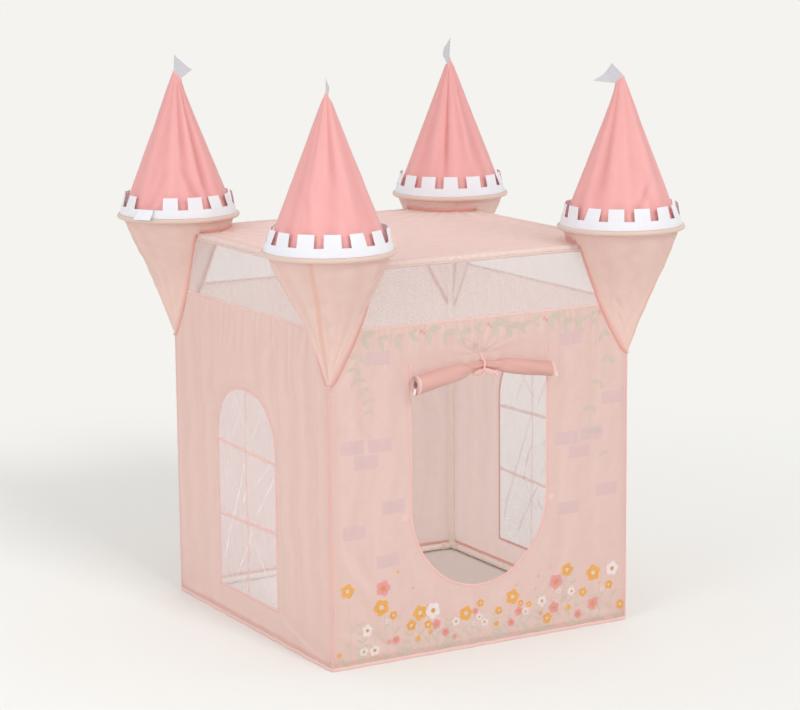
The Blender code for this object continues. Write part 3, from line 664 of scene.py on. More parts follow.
def wall_depth(side, across, height):
    """How far the cloth of a wall stands out from its plane."""
    look = settings()
    seed, gather_share, fold_share = WALL_FOLDS[side]
    across, height = np.broadcast_arrays(np.asarray(across, float), np.asarray(height, float))
    below = HEM - height
    sway = 0.012 * np.sin(height * 6 + seed) + 0.009 * np.sin(height * 13 + across * 8)
    sway = sway + 0.005 * np.sin(height * 31 - across * 17)
    # Gathers under the hem, fine ones and wider ones that reach further down
    length = 0.045 + 0.075 * folds_out(across, 0.055, seed + 9)
    fine = folds_out(across + sway * 0.5, look.gather_spacing, seed, 0.5)
    fine = fine * (0.25 + 0.75 * folds_out(across + sway, 0.13, seed + 15))
    middle = folds_out(across + sway * 0.7, look.gather_spacing * 1.9, seed + 1)
    leave = 1 - np.exp(-np.maximum(below, 0) / 0.005)
    gather = look.gather_depth * gather_share
    depth = gather * fine * leave * np.exp(-below / length)
    depth = depth + 0.62 * gather * middle * ease(below, 0, 0.05) * np.exp(-below / (2.6 * length))
    # Broad folds of the whole wall, and its fine dents
    broad = folds_out(across + sway, look.fold_spacing, seed + 2, 0.25)
    foot = 0.30 + 0.70 * ease(height, 0.0, 0.45)
    depth = depth + look.fold_depth * fold_share * broad * ease(below, 0, 0.16) * foot
    depth = depth + 0.00022 * (1 + crumple(across, height, 0.035, seed + 3)) * leave
    # All of them die out towards the edges, the U seams and the openings
    points = np.stack([across.ravel(), height.ravel()], 1)
    from_edge = HALF - np.abs(across)
    calm = ease(from_edge, 0.0, 0.045)
    reach = np.where(height > SKIRT_TIP, from_edge - seam_reach(height), 1)
    calm = calm * ease(reach, 0, 0.035)
    for loop in openings(side):
        apart = nearest_on(points, [loop])[1].reshape(across.shape)
        calm = calm * (0.12 + 0.88 * ease(apart, 0, 0.055))
    depth = depth * calm
    # Puckers of the corner seams, and folds pulled askew
    puckers = folds_out(height, 0.016, seed + 5) * np.exp(-np.abs(from_edge - 0.010) / 0.008)
    depth = depth + 0.0010 * puckers * ease(height, 0.01, 0.05)
    for x0, h0, x1, h1, tall, wide in PULLED_FOLDS[side]:
        share, off = near_segment(across, height, (x0, h0), (x1, h1))
        ridge = tall * np.exp(-(off / wide) ** 2) * np.sin(np.pi * (0.08 + 0.84 * share))
        depth = depth + ridge * ease(height, 0.004, 0.02)
    # Short folds that fan out from the top of the doorway, where the flap hangs
    if side == "front":
        away_x = across - DOOR_MIDDLE
        away_z = height - DOOR_TOP
        apart = np.hypot(away_x, away_z)
        turn = np.arctan2(away_z, away_x)
        fan = 0.5 + 0.5 * np.cos(turn * 17 + 2 * np.sin(turn * 3))
        depth = depth + 0.0060 * fan * ease(away_z, 0, 0.012) * np.exp(-apart / 0.065) * ease(apart, 0, 0.02)
    return depth


def on_wall(side, across, height, out=0.0):
    """Points of a wall's outer face in the tent, lifted outwards by out."""
    return wall_place(side, across, height, wall_depth(side, across, height) + out)


def wall_place(side, across, height, depth):
    """Points beside a wall's plane: across it, up from the floor, and outwards by depth."""
    across, height, depth = np.broadcast_arrays(across, height, depth)
    up = np.array([0, 0, 1])
    return across[..., None] * along_of(side) + (HALF + depth)[..., None] * facing_of(side) + height[..., None] * up


def along_of(side):
    turn = SIDES.index(side) * math.pi / 2
    return np.array([math.cos(turn), math.sin(turn), 0])


def facing_of(side):
    turn = SIDES.index(side) * math.pi / 2
    return np.array([math.sin(turn), -math.cos(turn), 0])


def wall_rows():
    """Heights of the points up a wall, closer together under its gathered hem."""
    return np.concatenate([np.linspace(FOOT, 0.82, 104), np.linspace(0.82, HEM, 38)[1:]])


def wall_cloth():
    return cloth_material("Wall cloth", settings().wall_colour, through=0.70, sheen=0.10, painted_fold_shade=0.085)


def make_walls():
    look = settings()
    cloth = wall_cloth()
    for side in SIDES:
        # The side walls end just short of the front and back ones
        edge = HALF if side in ("front", "back") else HALF - 0.0007
        columns = np.linspace(-edge, edge, WALL_COLUMNS)
        flat, faces = cut_grid(columns, wall_rows(), openings(side) + skirt_loops(HEM))
        outer = on_wall(side, flat[:, 0], flat[:, 1])
        inner = outer - facing_of(side) * look.cloth_thickness
        mesh = shell_mesh(f"wall_cloth_{side}", outer, inner, faces, flat)
        note_fold_shading(mesh, outer, faces)
        add_piece(f"wall_cloth_{side}", mesh, cloth, "tent", [f"wall_{side}"])


# Creases of a window's net: from and to, in half widths from its middle and metres up, and strength
NET_CREASES = (
    (-0.44, 0.70, 0.04, 0.596, 0.7), (0.0, 0.527, -0.69, 0.253, 0.9), (0.92, 0.547, 0.34, 0.453, 1.0),
    (0.92, 0.489, 0.29, 0.352, 1.0), (0.0, 0.434, -0.18, 0.37, 1.2), (0.19, 0.31, -0.40, 0.148, 1.0),
    (0.19, 0.27, 0.70, 0.163, 0.8), (-0.69, 0.262, -0.84, 0.17, 0.9), (0.58, 0.69, 0.19, 0.58, 0.6),
    (-0.1, 0.68, -0.5, 0.56, 0.5), (-0.25, 0.34, 0.12, 0.24, 0.6),
)


def crease_shares(across, height, middle, mirror):
    """How much of a crease lies at each point of a window's net."""
    total = np.zeros_like(across)
    for u0, h0, u1, h1, strength in NET_CREASES:
        x0, x1 = (middle + mirror * u * WINDOW_WIDTH / 2 for u in (u0, u1))
        share, off = near_segment(across, height, (x0, h0), (x1, h1), bend=0.004)
        total = total + strength * np.exp(-(off / 0.0026) ** 2) * np.sin(np.pi * (0.1 + 0.8 * share))
    return np.clip(total, 0, 1.4)


def make_nets():
    """The net strips under the roof and the net panes of the windows."""
    look = settings()
    net = net_material("Net", look.net_colour, look.net_cover)
    # The window nets' creases get extra thread and a painted highlight
    pane_net = net_material("Window net", pigment(240, 231, 233), look.net_cover, 0.7)
    ribbon = cloth_material("Window ribbon", pigment(255, 228, 222), through=0.76, sheen=0.3, coarse=0.7, passes=0.4)
    for index, side in enumerate(SIDES):
        heights = np.linspace(HEM - 0.002, NET_TOP, 24)
        flat, faces = cut_grid(np.linspace(-HALF, HALF, 161), heights, skirt_loops(NET_TOP))
        across, height = flat.T
        lean = -0.0032 * ease(height, BAR_HEIGHT - 0.03, NET_TOP)
        slack = 0.0016 * uneven_wave(across + 0.2 * height, 0.06, 60 + index)
        slack = slack * ease(height, HEM, HEM + 0.03) * ease(NET_TOP - height, 0, 0.03)
        slack = slack * ease(HALF - np.abs(across) - seam_reach(height), 0, 0.03)
        outer = wall_place(side, across, height, lean + slack)
        mesh = shell_mesh(f"net_band_{side}", outer, outer - facing_of(side) * NET_THICKNESS, faces, flat)
        add_piece(f"net_band_{side}", mesh, net, "tent", [f"net_strip_{side}"])
    half = WINDOW_WIDTH / 2
    spare = 0.002
    for side in ("left", "right"):
        facing = facing_of(side)
        loop = openings(side)[0]
        middle = loop[:2, 0].mean()
        columns = np.linspace(middle - half - spare, middle + half + spare, 108)
        rows = np.linspace(WINDOW_SILL - spare, WINDOW_TOP + spare, 166)
        flat, faces = cut_grid(columns, rows, [loop], keep_inside=True)
        across, height = flat.T
        inward = nearest_on(flat, [loop])[1]
        streaks = 0.0022 * uneven_wave(across + 0.35 * height, 0.05, 70) * ease(inward, 0, 0.04)
        outer = wall_place(side, across, height, streaks - NET_THICKNESS)
        mesh = shell_mesh(f"window_net_{side}", outer, outer - facing * NET_THICKNESS, faces, flat)
        shares = crease_shares(across, height, middle, 1 if side == "left" else -1)
        layer = mesh.attributes.new("crease", "FLOAT", "POINT")
        layer.data.foreach_set("value", np.concatenate([shares, shares]).astype(np.float32))
        pane = add_piece(f"window_net_{side}", mesh, pane_net, "tent", [f"window_{side}"])
        steps = np.linspace(-1, 1, 40)
        lines = [
            (wall_place(side, middle + steps * half, height + skew * steps, 0.0012), facing, False)
            for height, skew in zip(RIBBON_HEIGHTS, (0.006, -0.005))
        ]
        bars = sew(f"window_ribbons_{side}", lines, 0.0105, 0.0009, ribbon, 0.0014, 0.02)
        steps = np.linspace(WINDOW_SILL, WINDOW_TOP - 0.002, 70)
        upright = wall_place(side, middle + 0.003 * np.sin(steps * 9), steps, 0.0016)
        lines = [(upright, facing, False)]
        post = sew(f"window_post_{side}", lines, 0.0050, 0.0009, ribbon, 0.0012, 0.03)


# Roof

def roof_height_at(x, y):
    """Height of the roof: a shallow bowl with diagonal creases, folds at its turrets and a seam by its bars."""
    u = x / (2 * POLE) + 0.5
    v = y / (2 * POLE) + 0.5
    bowl = np.sin(np.pi * np.clip(u, 0, 1)) * np.sin(np.pi * np.clip(v, 0, 1))
    diagonals = np.abs(u - v) * np.abs(1 - u - v)
    folds = np.zeros_like(bowl)
    for corner, (px, py) in enumerate(SQUARE):
        away = np.hypot(x - px * POLE, y - py * POLE)
        turn = np.arctan2(y - py * POLE, x - px * POLE)
        fan = uneven_wave(turn, 0.21, 90 + corner)
        folds += fan * np.exp(-((away - 0.19) / 0.13) ** 2)
    from_bar = POLE - np.maximum(np.abs(x), np.abs(y))
    edge = ease(from_bar, 0, 0.04)
    seam = np.exp(-((from_bar - SLEEVE_SEAM) / 0.003) ** 2)
    dents = 0.0005 * crumple(x, y, 0.06, 95)
    return ROOF_TOP - (ROOF_SAG + ROOF_CREASE * diagonals) * bowl + (0.0016 * folds + dents) * edge - 0.0009 * seam


def make_roof():
    look = settings()
    cloth = cloth_material("Roof cloth", look.roof_colour, through=0.56, sheen=0.12, painted_fold_shade=0.07)
    steps = np.linspace(-POLE, POLE, 131)
    turns = np.linspace(0, FULL_TURN, 120, endpoint=False)
    ring = skirt_ring(ROOF_TOP)[0] * np.stack([np.cos(turns), np.sin(turns)], 1)
    cuts = [ring + (px * POLE, py * POLE) for px, py in SQUARE]
    flat, faces = cut_grid(steps, steps, cuts)
    outer = np.column_stack([flat, roof_height_at(flat[:, 0], flat[:, 1])])
    mesh = shell_mesh("roof_cloth", outer, outer - (0, 0, look.cloth_thickness), faces, flat)
    note_fold_shading(mesh, outer, faces)
    roof = add_piece("roof_cloth", mesh, cloth, "tent", ["roof"])
    # The sleeves' cloth is paler than the roof's: a painted highlight along the rounded sleeves
    highlit_sleeve_cloth = cloth_material("Sleeve cloth", pigment(255, 236, 229), through=0.5, sheen=0.3, painted_fold_shade=0.10, gloss=0.5)
    count, around = 340, 24
    bar_clearance = 0.0094 / SLEEVE_RADIUS
    for index, side in enumerate(SIDES):
        along = np.linspace(-SLEEVE_END, SLEEVE_END, count)[:, None]
        turn = np.linspace(0, FULL_TURN, around, endpoint=False)[None, :]
        wrinkle = crumple(along + 0.006 * np.sin(turn), 0.009 * turn, 0.017, 110 + index)
        ends = ease(SLEEVE_END - np.abs(along), 0, 0.01)
        radius = SLEEVE_RADIUS + 0.00085 * wrinkle * ends - 0.0003 * (1 - ends)
        place = np.stack(np.broadcast_arrays(
            along, -POLE - np.cos(turn) * radius, BAR_HEIGHT + np.sin(turn) * radius,
        ), -1).reshape(-1, 3)
        rotation = quarter_turns(index)
        outer = place @ rotation.T
        hub = place * (1, 0, 0) + (0, -POLE, BAR_HEIGHT)
        inner = (hub + (place - hub) * bar_clearance) @ rotation.T
        # Rows run round the bar, so they close on themselves
        faces = tube_faces(count, around)
        flat = np.stack(np.broadcast_arrays(along, turn * SLEEVE_RADIUS), -1).reshape(-1, 2)
        mesh = shell_mesh(f"roof_sleeve_{side}", outer, inner, faces, flat)
        note_fold_shading(mesh, outer, faces, 8)
        add_piece(f"roof_sleeve_{side}", mesh, highlit_sleeve_cloth, "tent")


def tube_faces(count, around):
    """Quads of a tube: points go round it at each place along it."""
    i, j = np.meshgrid(np.arange(count - 1), np.arange(around), indexing="ij")
    here, following = i * around + j, i * around + (j + 1) % around
    return np.stack([here, following, following + around, here + around], -1).reshape(-1, 4)


# Turrets, drawn about a pole whose tent lies towards +X and +Y

def to_corner(points, corner):
    return turn_to_corner(np.asarray(points) + (-POLE, -POLE, 0), corner)


def turn_to_corner(vectors, corner):
    return np.asarray(vectors) @ quarter_turns(CORNERS[corner]).T


def foot_of(corner):
    """The foot of a corner's pole on the floor."""
    return to_corner([(0, 0, 0)], corner)[0]


def skirt_opening(height):
    """Turn between the tent's own side and a U seam, seen from the pole."""
    radius, inset, _ = skirt_ring(height)
    return np.arcsin(np.clip(inset / np.maximum(radius, 1e-5), 0, 1))


def skirt_point(turn, height, out=0.0):
    """A point of a lower cone: straight down its outer corner, and flatter towards the tip."""
    radius, _, shift = skirt_ring(height)
    rise = np.maximum(height - SKIRT_TIP, 0)
    corner = np.minimum(SKIRT_SLOPE * rise + math.sqrt(2) * (SKIRT_INSET + shift) + 1e-5, radius)
    opening = skirt_opening(height)
    # From the nearer U seam towards the outer corner
    apart = np.where(turn > OUTWARD, -turn, turn + OUTSIDE) - opening
    span = -OUTWARD - opening
    outside = apart >= 0
    apart = np.clip(apart, 0, span)
    round_face = radius - (radius - corner) * np.sin(apart / span * np.pi / 2) ** 2
    flat_face = np.sin(span) / (
        np.sin(span - apart) / np.maximum(radius, 1e-5) + np.sin(apart) / np.maximum(corner, 1e-5)
    )
    taut = 0.8 * (1 - ease(rise, 0.03, 0.33))
    radius = np.where(outside, round_face + (flat_face - round_face) * taut, radius) + out
    return np.stack(np.broadcast_arrays(shift + radius * np.cos(turn), shift + radius * np.sin(turn), height), -1)


def skirt_folds(turn, height, seed):
    """Soft folds of a lower cone, none at its seams."""
    rise = (height - SKIRT_TIP) / (HOOP_HEIGHT - SKIRT_TIP)
    wave = uneven_wave(turn + 0.5 * rise, 0.75, seed) * 0.0026
    wave = wave + 0.0011 * crumple(turn * 0.15, height * 1.3, 0.06, seed + 1)
    opening = skirt_opening(height)
    from_seam = np.minimum(-opening - turn, turn + OUTSIDE - opening) * skirt_ring(height)[0]
    calm = np.where(height < ROOF_TOP, ease(from_seam, 0, 0.04), 1)
    return wave * calm * ease(rise, 0.02, 0.35) * ease(1 - rise, 0, 0.12)


def skirt_sheet(seed):
    """Points, quads and flat places of a lower cone about its pole."""
    def part(turn, height, fold):
        flat = np.stack(np.broadcast_arrays(turn * 0.15, height), -1).reshape(-1, 2)
        return skirt_point(turn, height, fold).reshape(-1, 3), grid_faces(*turn.shape), flat

    rises = np.concatenate([np.linspace(0.0, 0.09, 24), np.linspace(0.09, ROOF_TOP - SKIRT_TIP, 60)[1:]])
    rises[0] = 0.0002
    high = np.linspace(ROOF_TOP, HOOP_HEIGHT - 0.0004, 10)[1:]
    height = np.concatenate([SKIRT_TIP + rises, high])
    opening = skirt_opening(height)
    share = np.linspace(0, 1, 100)[:, None]
    turn = opening - OUTSIDE + share * (OUTSIDE - 2 * opening)
    points, faces, flat = part(turn, height, skirt_folds(turn, height, seed))
    # The closed part above the roof also runs round the tent's side
    height = np.concatenate([[ROOF_TOP - 0.003], high])
    opening = skirt_opening(height)
    share = np.linspace(0, 1, 36)[:, None]
    turn = -opening + share * (0.5 * np.pi + 2 * opening)
    fold = skirt_folds(turn - FULL_TURN, height, seed) * ease(share, 0, 0.2) * ease(1 - share, 0, 0.2)
    more, more_faces, more_flat = part(turn, height, fold)
    faces = np.concatenate([faces, more_faces + len(points)])
    return np.concatenate([points, more]), faces, np.concatenate([flat, more_flat])


def skirt_strip(start, shares, width, heights, lifts, seed):
    """Rows of points beside a line up a lower cone, each lifted off its cloth."""
    rows = []
    for share, lift in zip(shares, lifts):
        turn = start + share * width / skirt_ring(heights)[0]
        rows.append(skirt_point(turn, heights, skirt_folds(turn, heights, seed) + lift))
    return np.concatenate(rows)


def strip_flat(shares, width, heights):
    """Where the points of a strip lie when it is flat."""
    return np.stack([np.repeat(shares, len(heights)) * width, np.tile(heights, len(shares))], 1)


def make_skirt_seam(corner, index, seed, material):
    """The doubled seam down the outer corner of a lower cone."""
    heights = np.linspace(SKIRT_TIP + 0.002, HOOP_HEIGHT - 0.004, 110)
    sway = OUTWARD + 0.012 * np.sin(heights * 31 + index)
    width = 0.0068 * ease(heights, SKIRT_TIP - 0.012, SKIRT_TIP + 0.035)
    shares = np.linspace(-1, 1, 7)
    lifts = 0.00045 + 0.0002 * (1 - shares ** 2)
    strip = to_corner(skirt_strip(sway, shares, width, heights, lifts, seed), corner)
    faces = grid_faces(len(shares), len(heights))
    mesh = sheet_mesh(f"skirt_seam_{corner}", strip, faces, strip_flat(shares, 0.0075, heights), 0.0004)
    return add_piece(f"skirt_seam_{corner}", mesh, material, "tent")


def make_skirt_edges(corner, seed, material):
    """The turned edge along both U seams of a lower cone."""
    rises = np.concatenate([np.linspace(0.0012, 0.03, 26), np.linspace(0.03, ROOF_TOP - SKIRT_TIP - 0.002, 70)[1:]])
    heights = SKIRT_TIP + rises
    opening = skirt_opening(heights)
    width = 0.0085 * ease(heights, SKIRT_TIP - 0.004, SKIRT_TIP + 0.022)
    shares = np.linspace(0, 1, 6)
    lifts = 0.0005 + 0.0009 * np.sin(np.pi * shares)
    first = skirt_strip(-opening, -shares, width, heights, lifts, seed)
    second = skirt_strip(opening - OUTSIDE, shares, width, heights, lifts, seed)
    points = to_corner(np.concatenate([first, second]), corner)
    grid = grid_faces(len(shares), len(heights))
    faces = np.concatenate([grid[:, ::-1], grid + len(first)])
    flat = np.tile(strip_flat(shares, 0.0085, heights), (2, 1))
    mesh = sheet_mesh(f"skirt_edge_{corner}", points, faces, flat, 0.0005)
    return add_piece(f"skirt_edge_{corner}", mesh, material, "tent")


def make_skirt_tip(corner, material):
    """The binding by which both U seams meet round the corner of the tent."""
    place = np.linspace(-1, 1, 30)
    way = OUTWARD * (1 - place)
    facing = np.stack([np.cos(way), np.sin(way), 0 * way], 1)
    line = facing * 0.0044 + (-SKIRT_INSET, -SKIRT_INSET, SKIRT_TIP - 0.0014)
    line[:, 2] += 0.004 * place ** 2
    lines = [(to_corner(line, corner), turn_to_corner(facing, corner), False)]
    return sew(f"skirt_tip_{corner}", lines, 0.0060, 0.0032, material, 0.0004, 0.01)


def make_skirts():
    """The lower cones, each with its seams, turned edges and tip."""
    look = settings()
    cloth = cloth_material("Skirt cloth", look.skirt_colour, through=0.58, sheen=0.10, painted_fold_shade=0.06)
    band = cloth_material("Doubled seam", pigment(252, 215, 200), through=0.5, sheen=0.15)
    turned_cloth = cloth_material("Turned edge", pigment(253, 211, 200), through=0.4, sheen=0.3, coarse=0.6)
    for index, corner in enumerate(CORNERS):
        seed = 130 + 7 * index
        points, faces, flat = skirt_sheet(seed)
        points = to_corner(points, corner)
        mesh = sheet_mesh(f"skirt_cloth_{corner}", points, faces, flat, look.cloth_thickness)
        note_fold_shading(mesh, points, faces, 24)
        skirt = add_piece(f"skirt_cloth_{corner}", mesh, cloth, "tent", [f"turret_skirt_{corner}"])
        sewn = [
            make_skirt_seam(corner, index, seed, band), make_skirt_edges(corner, seed, turned_cloth),
            make_skirt_tip(corner, turned_cloth),
        ]


def cone_rings(heights):
    """Shift, half widths and tilt of the upper cone's rings at some heights."""
    slope = CONE_RADIUS / (CONE_POINT - HOOP_HEIGHT)
    rise = SEAM_HALF * math.sin(SEAM_TILT)
    top = SEAM_HEIGHT + rise
    known = [(SEAM_HEIGHT, SEAM_SHIFT, SEAM_HALF, 0.0018, SEAM_TILT)]
    # Where the crimped seam opens into the round cone: how deep in its own rises, and what is left of it
    for depth, shift, wide, narrow, tilt in (
        (2.56, 0.55, 1.15, 0.32, 0.55), (5.76, 0.15, 0, 0, 0.18), (11.84, 0, 0, 0, 0),
    ):
        height = top - rise * depth
        radius = slope * (CONE_POINT - height)
        known.append((
            height, SEAM_SHIFT * shift,
            max(radius * 1.06, SEAM_HALF * wide) if tilt else radius,
            max(radius * 1.02, SEAM_HALF * narrow) if tilt else radius, SEAM_TILT * tilt,
        ))
    known.append((CONE_FOOT, 0, slope * (CONE_POINT - CONE_FOOT), slope * (CONE_POINT - CONE_FOOT), 0))
    known = np.array(known[::-1])
    return [np.interp(heights, known[:, 0], known[:, k]) for k in range(1, 5)]


# Folds of each upper cone: turn from the camera's side in degrees, width in degrees, depth as a
# share of the radius, and how far down from the point it reaches
CONE_FOLDS = {
    "front_left": [
        (-16, 17, 0.085, 1.0), (12, 7, -0.120, 0.66), (31, 13, 0.040, 0.95), (-50, 14, -0.030, 0.9),
        (54, 14, -0.050, 1.0), (-30, 5, -0.040, 0.5),
    ],
    "front_right": [
        (-34, 9, -0.075, 0.9), (-10, 15, 0.050, 1.0), (20, 10, -0.050, 0.8), (44, 15, 0.040, 1.0),
        (-58, 12, 0.040, 1.0), (62, 10, -0.060, 1.0),
    ],
    "back_right": [
        (-7, 3, -0.080, 1.0), (-24, 14, 0.060, 0.9), (9, 9, 0.080, 1.0), (30, 6, 0.070, 1.0),
        (47, 14, -0.080, 1.0), (-46, 10, -0.050, 1.0),
    ],
    "back_left": [
        (-40, 13, 0.040, 1.0), (-20, 8, -0.040, 0.7), (-2, 15, 0.070, 1.0), (16, 6, -0.110, 0.75),
        (29, 8, 0.050, 1.0), (43, 6, -0.085, 1.0), (58, 9, 0.040, 1.0),
    ],
}
# Slanted creases: turn in degrees, slope, the span down the cone, and depth
SLANTED_CREASES = {
    "front_left": [(-28, 0.5, 0.55, 0.95, -0.020)],
    "front_right": [(46, -2.3, 0.62, 0.97, -0.030), (34, -1.6, 0.74, 0.97, 0.020)],
    "back_right": [(22, 0.3, 0.40, 0.95, -0.024)],
    "back_left": [(8, 1.3, 0.58, 0.97, -0.045), (-12, -0.9, 0.62, 0.97, -0.026), (26, 0.8, 0.55, 0.97, 0.030)],
}
CAMERA_TURN = math.radians(-120)


def turn_apart(turn, middle):
    """Turns counted from a middle, up to half a round to either side."""
    return (turn - middle + np.pi) % FULL_TURN - np.pi


def cone_folds(turn, depth_share, corner):
    """Depth of the upper cone's folds as a share of its radius; turn is from the seam's way."""
    seed = 170 + 5 * CORNERS[corner]
    seen_at = CAMERA_TURN - math.pi / 4 - CORNERS[corner] * math.pi / 2
    total = np.zeros(np.broadcast(turn, depth_share).shape)
    for place, width, depth, reach in CONE_FOLDS[corner]:
        apart = turn_apart(turn, seen_at + math.radians(place))
        total += depth * np.exp(-(apart / math.radians(width)) ** 2) * (1 - ease(depth_share, reach * 0.55, reach))
    for place, slope, low, high, depth in SLANTED_CREASES[corner]:
        apart = turn_apart(turn, seen_at + math.radians(place) + slope * (depth_share - low))
        span = ease(depth_share, low, low + 0.12) * (1 - ease(depth_share, high - 0.12, high))
        total += depth * np.exp(-(apart / 0.085) ** 2) * span
    ring = uneven_wave(turn * 2.2 + 0 * depth_share, 1.0, seed)
    from_start = turn % FULL_TURN
    closed = ease(from_start, 0, 0.3) * ease(FULL_TURN - from_start, 0, 0.3)
    total += 0.014 * ring * closed * (0.5 + 0.5 * depth_share) * (1 - ease(depth_share, 0.94, 1.0) * 0.5)
    total += 0.0035 * crumple(np.cos(turn) * 0.15, np.sin(turn) * 0.15 + depth_share * 0.45, 0.07, seed + 2)
    return total


def make_cones():
    look = settings()
    cloth = cloth_material(
        "Cone cloth", look.cone_colour, through=0.26, sheen=0.25, crinkle=0.4, painted_fold_shade=0.075, gloss=0.55, passes=0.6,
    )
    edge = cloth_material("Cone seam binding", pigment(250, 205, 200), through=0.2, sheen=0.3, coarse=0.6)
    columns = 144
    heights = CONE_FOOT + (SEAM_HEIGHT - CONE_FOOT) * (1 - (1 - np.linspace(0, 1, 90)) ** 1.25)
    rows = len(heights)
    turn = np.linspace(0, FULL_TURN, columns, endpoint=False)[:, None]
    shift, wide, narrow, tilt = cone_rings(heights)
    share = (SEAM_HEIGHT - heights) / (SEAM_HEIGHT - CONE_FOOT)
    radius = CONE_RADIUS * (CONE_POINT - heights) / (CONE_POINT - HOOP_HEIGHT)
    # Quads across the crimped top, from the columns of one side to the other's
    k = np.arange(1, columns // 2 - 1)
    cap = np.stack([k, k + 1, columns - k - 1, columns - k], 1) * rows + rows - 1
    faces = np.concatenate([grid_faces(columns, rows, closed=True), cap])
    flat = np.stack(np.broadcast_arrays(turn * radius, heights), -1).reshape(-1, 2)
    for corner in CORNERS:
        fold = cone_folds(turn, share, corner) * radius
        fold = fold * ease(share, 0.0, 0.06) - 0.0012 * ease(share, 0.9, 1.0)
        fold = np.minimum(fold, 0.0075 - 0.0075 * ease(share, 0.84, 0.93))
        along = (wide + fold) * np.cos(turn)
        across = (narrow + fold) * np.sin(turn)
        reach = shift + along * np.cos(tilt)
        x = (reach - across) / math.sqrt(2)
        y = (reach + across) / math.sqrt(2)
        z = heights - along * np.sin(tilt)
        points = to_corner(np.stack([x, y, z], -1).reshape(-1, 3), corner)
        mesh = sheet_mesh(f"cone_cloth_{corner}", points, faces, flat, look.cloth_thickness)
        note_fold_shading(mesh, points, faces, 24)
        cone = add_piece(f"cone_cloth_{corner}", mesh, cloth, "tent", [f"turret_cone_{corner}"])
        steps = np.linspace(-SEAM_HALF - 0.0005, SEAM_HALF + 0.0005, 24)
        reach = SEAM_SHIFT + steps * math.cos(SEAM_TILT)
        line = np.stack([reach / math.sqrt(2), reach / math.sqrt(2), SEAM_HEIGHT - steps * math.sin(SEAM_TILT)], 1)
        out = np.array([math.sin(SEAM_TILT) / math.sqrt(2)] * 2 + [math.cos(SEAM_TILT)])
        line = to_corner(line - out * 0.0022, corner)
        sideways = turn_to_corner(np.array([-1, 1, 0]) / math.sqrt(2), corner)
        lines = [(line, sideways, False)]
        seam = sew(f"cone_seam_{corner}", lines, 0.0055, 0.0046, edge, pucker_length=0.006)


def make_hoops():
    look = settings()
    plastic = plastic_material("Hoop plastic", look.hoop_colour, 0.42)
    steps, around, half_length, joint_places = 15, 24, 0.055, (0.35, -0.9, -0.25, 0.6)
    for corner, joint_place in zip(CORNERS, joint_places):
        start = bpy.data.meshes.new("hoop_start")
        made = grown(f"hoop_{corner}", start, tree_named(hoop_tree), {
            "Radius": HOOP_RADIUS, "Tube radius": HOOP_TUBE, "Steps": 180, "Material": plastic,
        })
        foot = foot_of(corner)
        made.transform(Matrix.Translation(Vector(foot + (0, 0, HOOP_HEIGHT))))
        made.shade_smooth()
        add_piece(f"hoop_{corner}", made, None, "tent", [f"turret_hoop_{corner}"])
        # A sleeve over the joint of the tube
        middle = CAMERA_TURN + joint_place
        turns = (middle + np.linspace(-half_length, half_length, steps))[:, None]
        section = np.linspace(0, FULL_TURN, around, endpoint=False)
        radius = HOOP_TUBE + 0.0001 + 0.0006 * ease(half_length - np.abs(turns - middle), 0, 0.008)
        reach = HOOP_RADIUS + radius * np.cos(section)
        height = HOOP_HEIGHT + radius * np.sin(section)
        outer = np.stack([reach * np.cos(turns), reach * np.sin(turns), height], -1).reshape(-1, 3) + foot
        hub = np.column_stack([HOOP_RADIUS * np.cos(turns), HOOP_RADIUS * np.sin(turns), np.full(steps, HOOP_HEIGHT)])
        hub = np.repeat(hub, around, 0) + foot
        inner = hub + (outer - hub) * (HOOP_TUBE - 0.0002) / (HOOP_TUBE + 0.0007)
        mesh = shell_mesh(f"hoop_joint_{corner}", outer, inner, tube_faces(steps, around)[:, ::-1])
        add_piece(f"hoop_joint_{corner}", mesh, plastic, "tent")


# Merlons that have fallen outwards or turned, by corner: number and its lean in degrees
FALLEN_MERLONS = {"back_left": {6: 138, 9: -14}, "front_left": {10: -9}, "front_right": {7: -20}, "back_right": {}}
BAND_TURNS = {"front_left": 0.105, "front_right": 0.30, "back_right": 0.46, "back_left": 0.86}


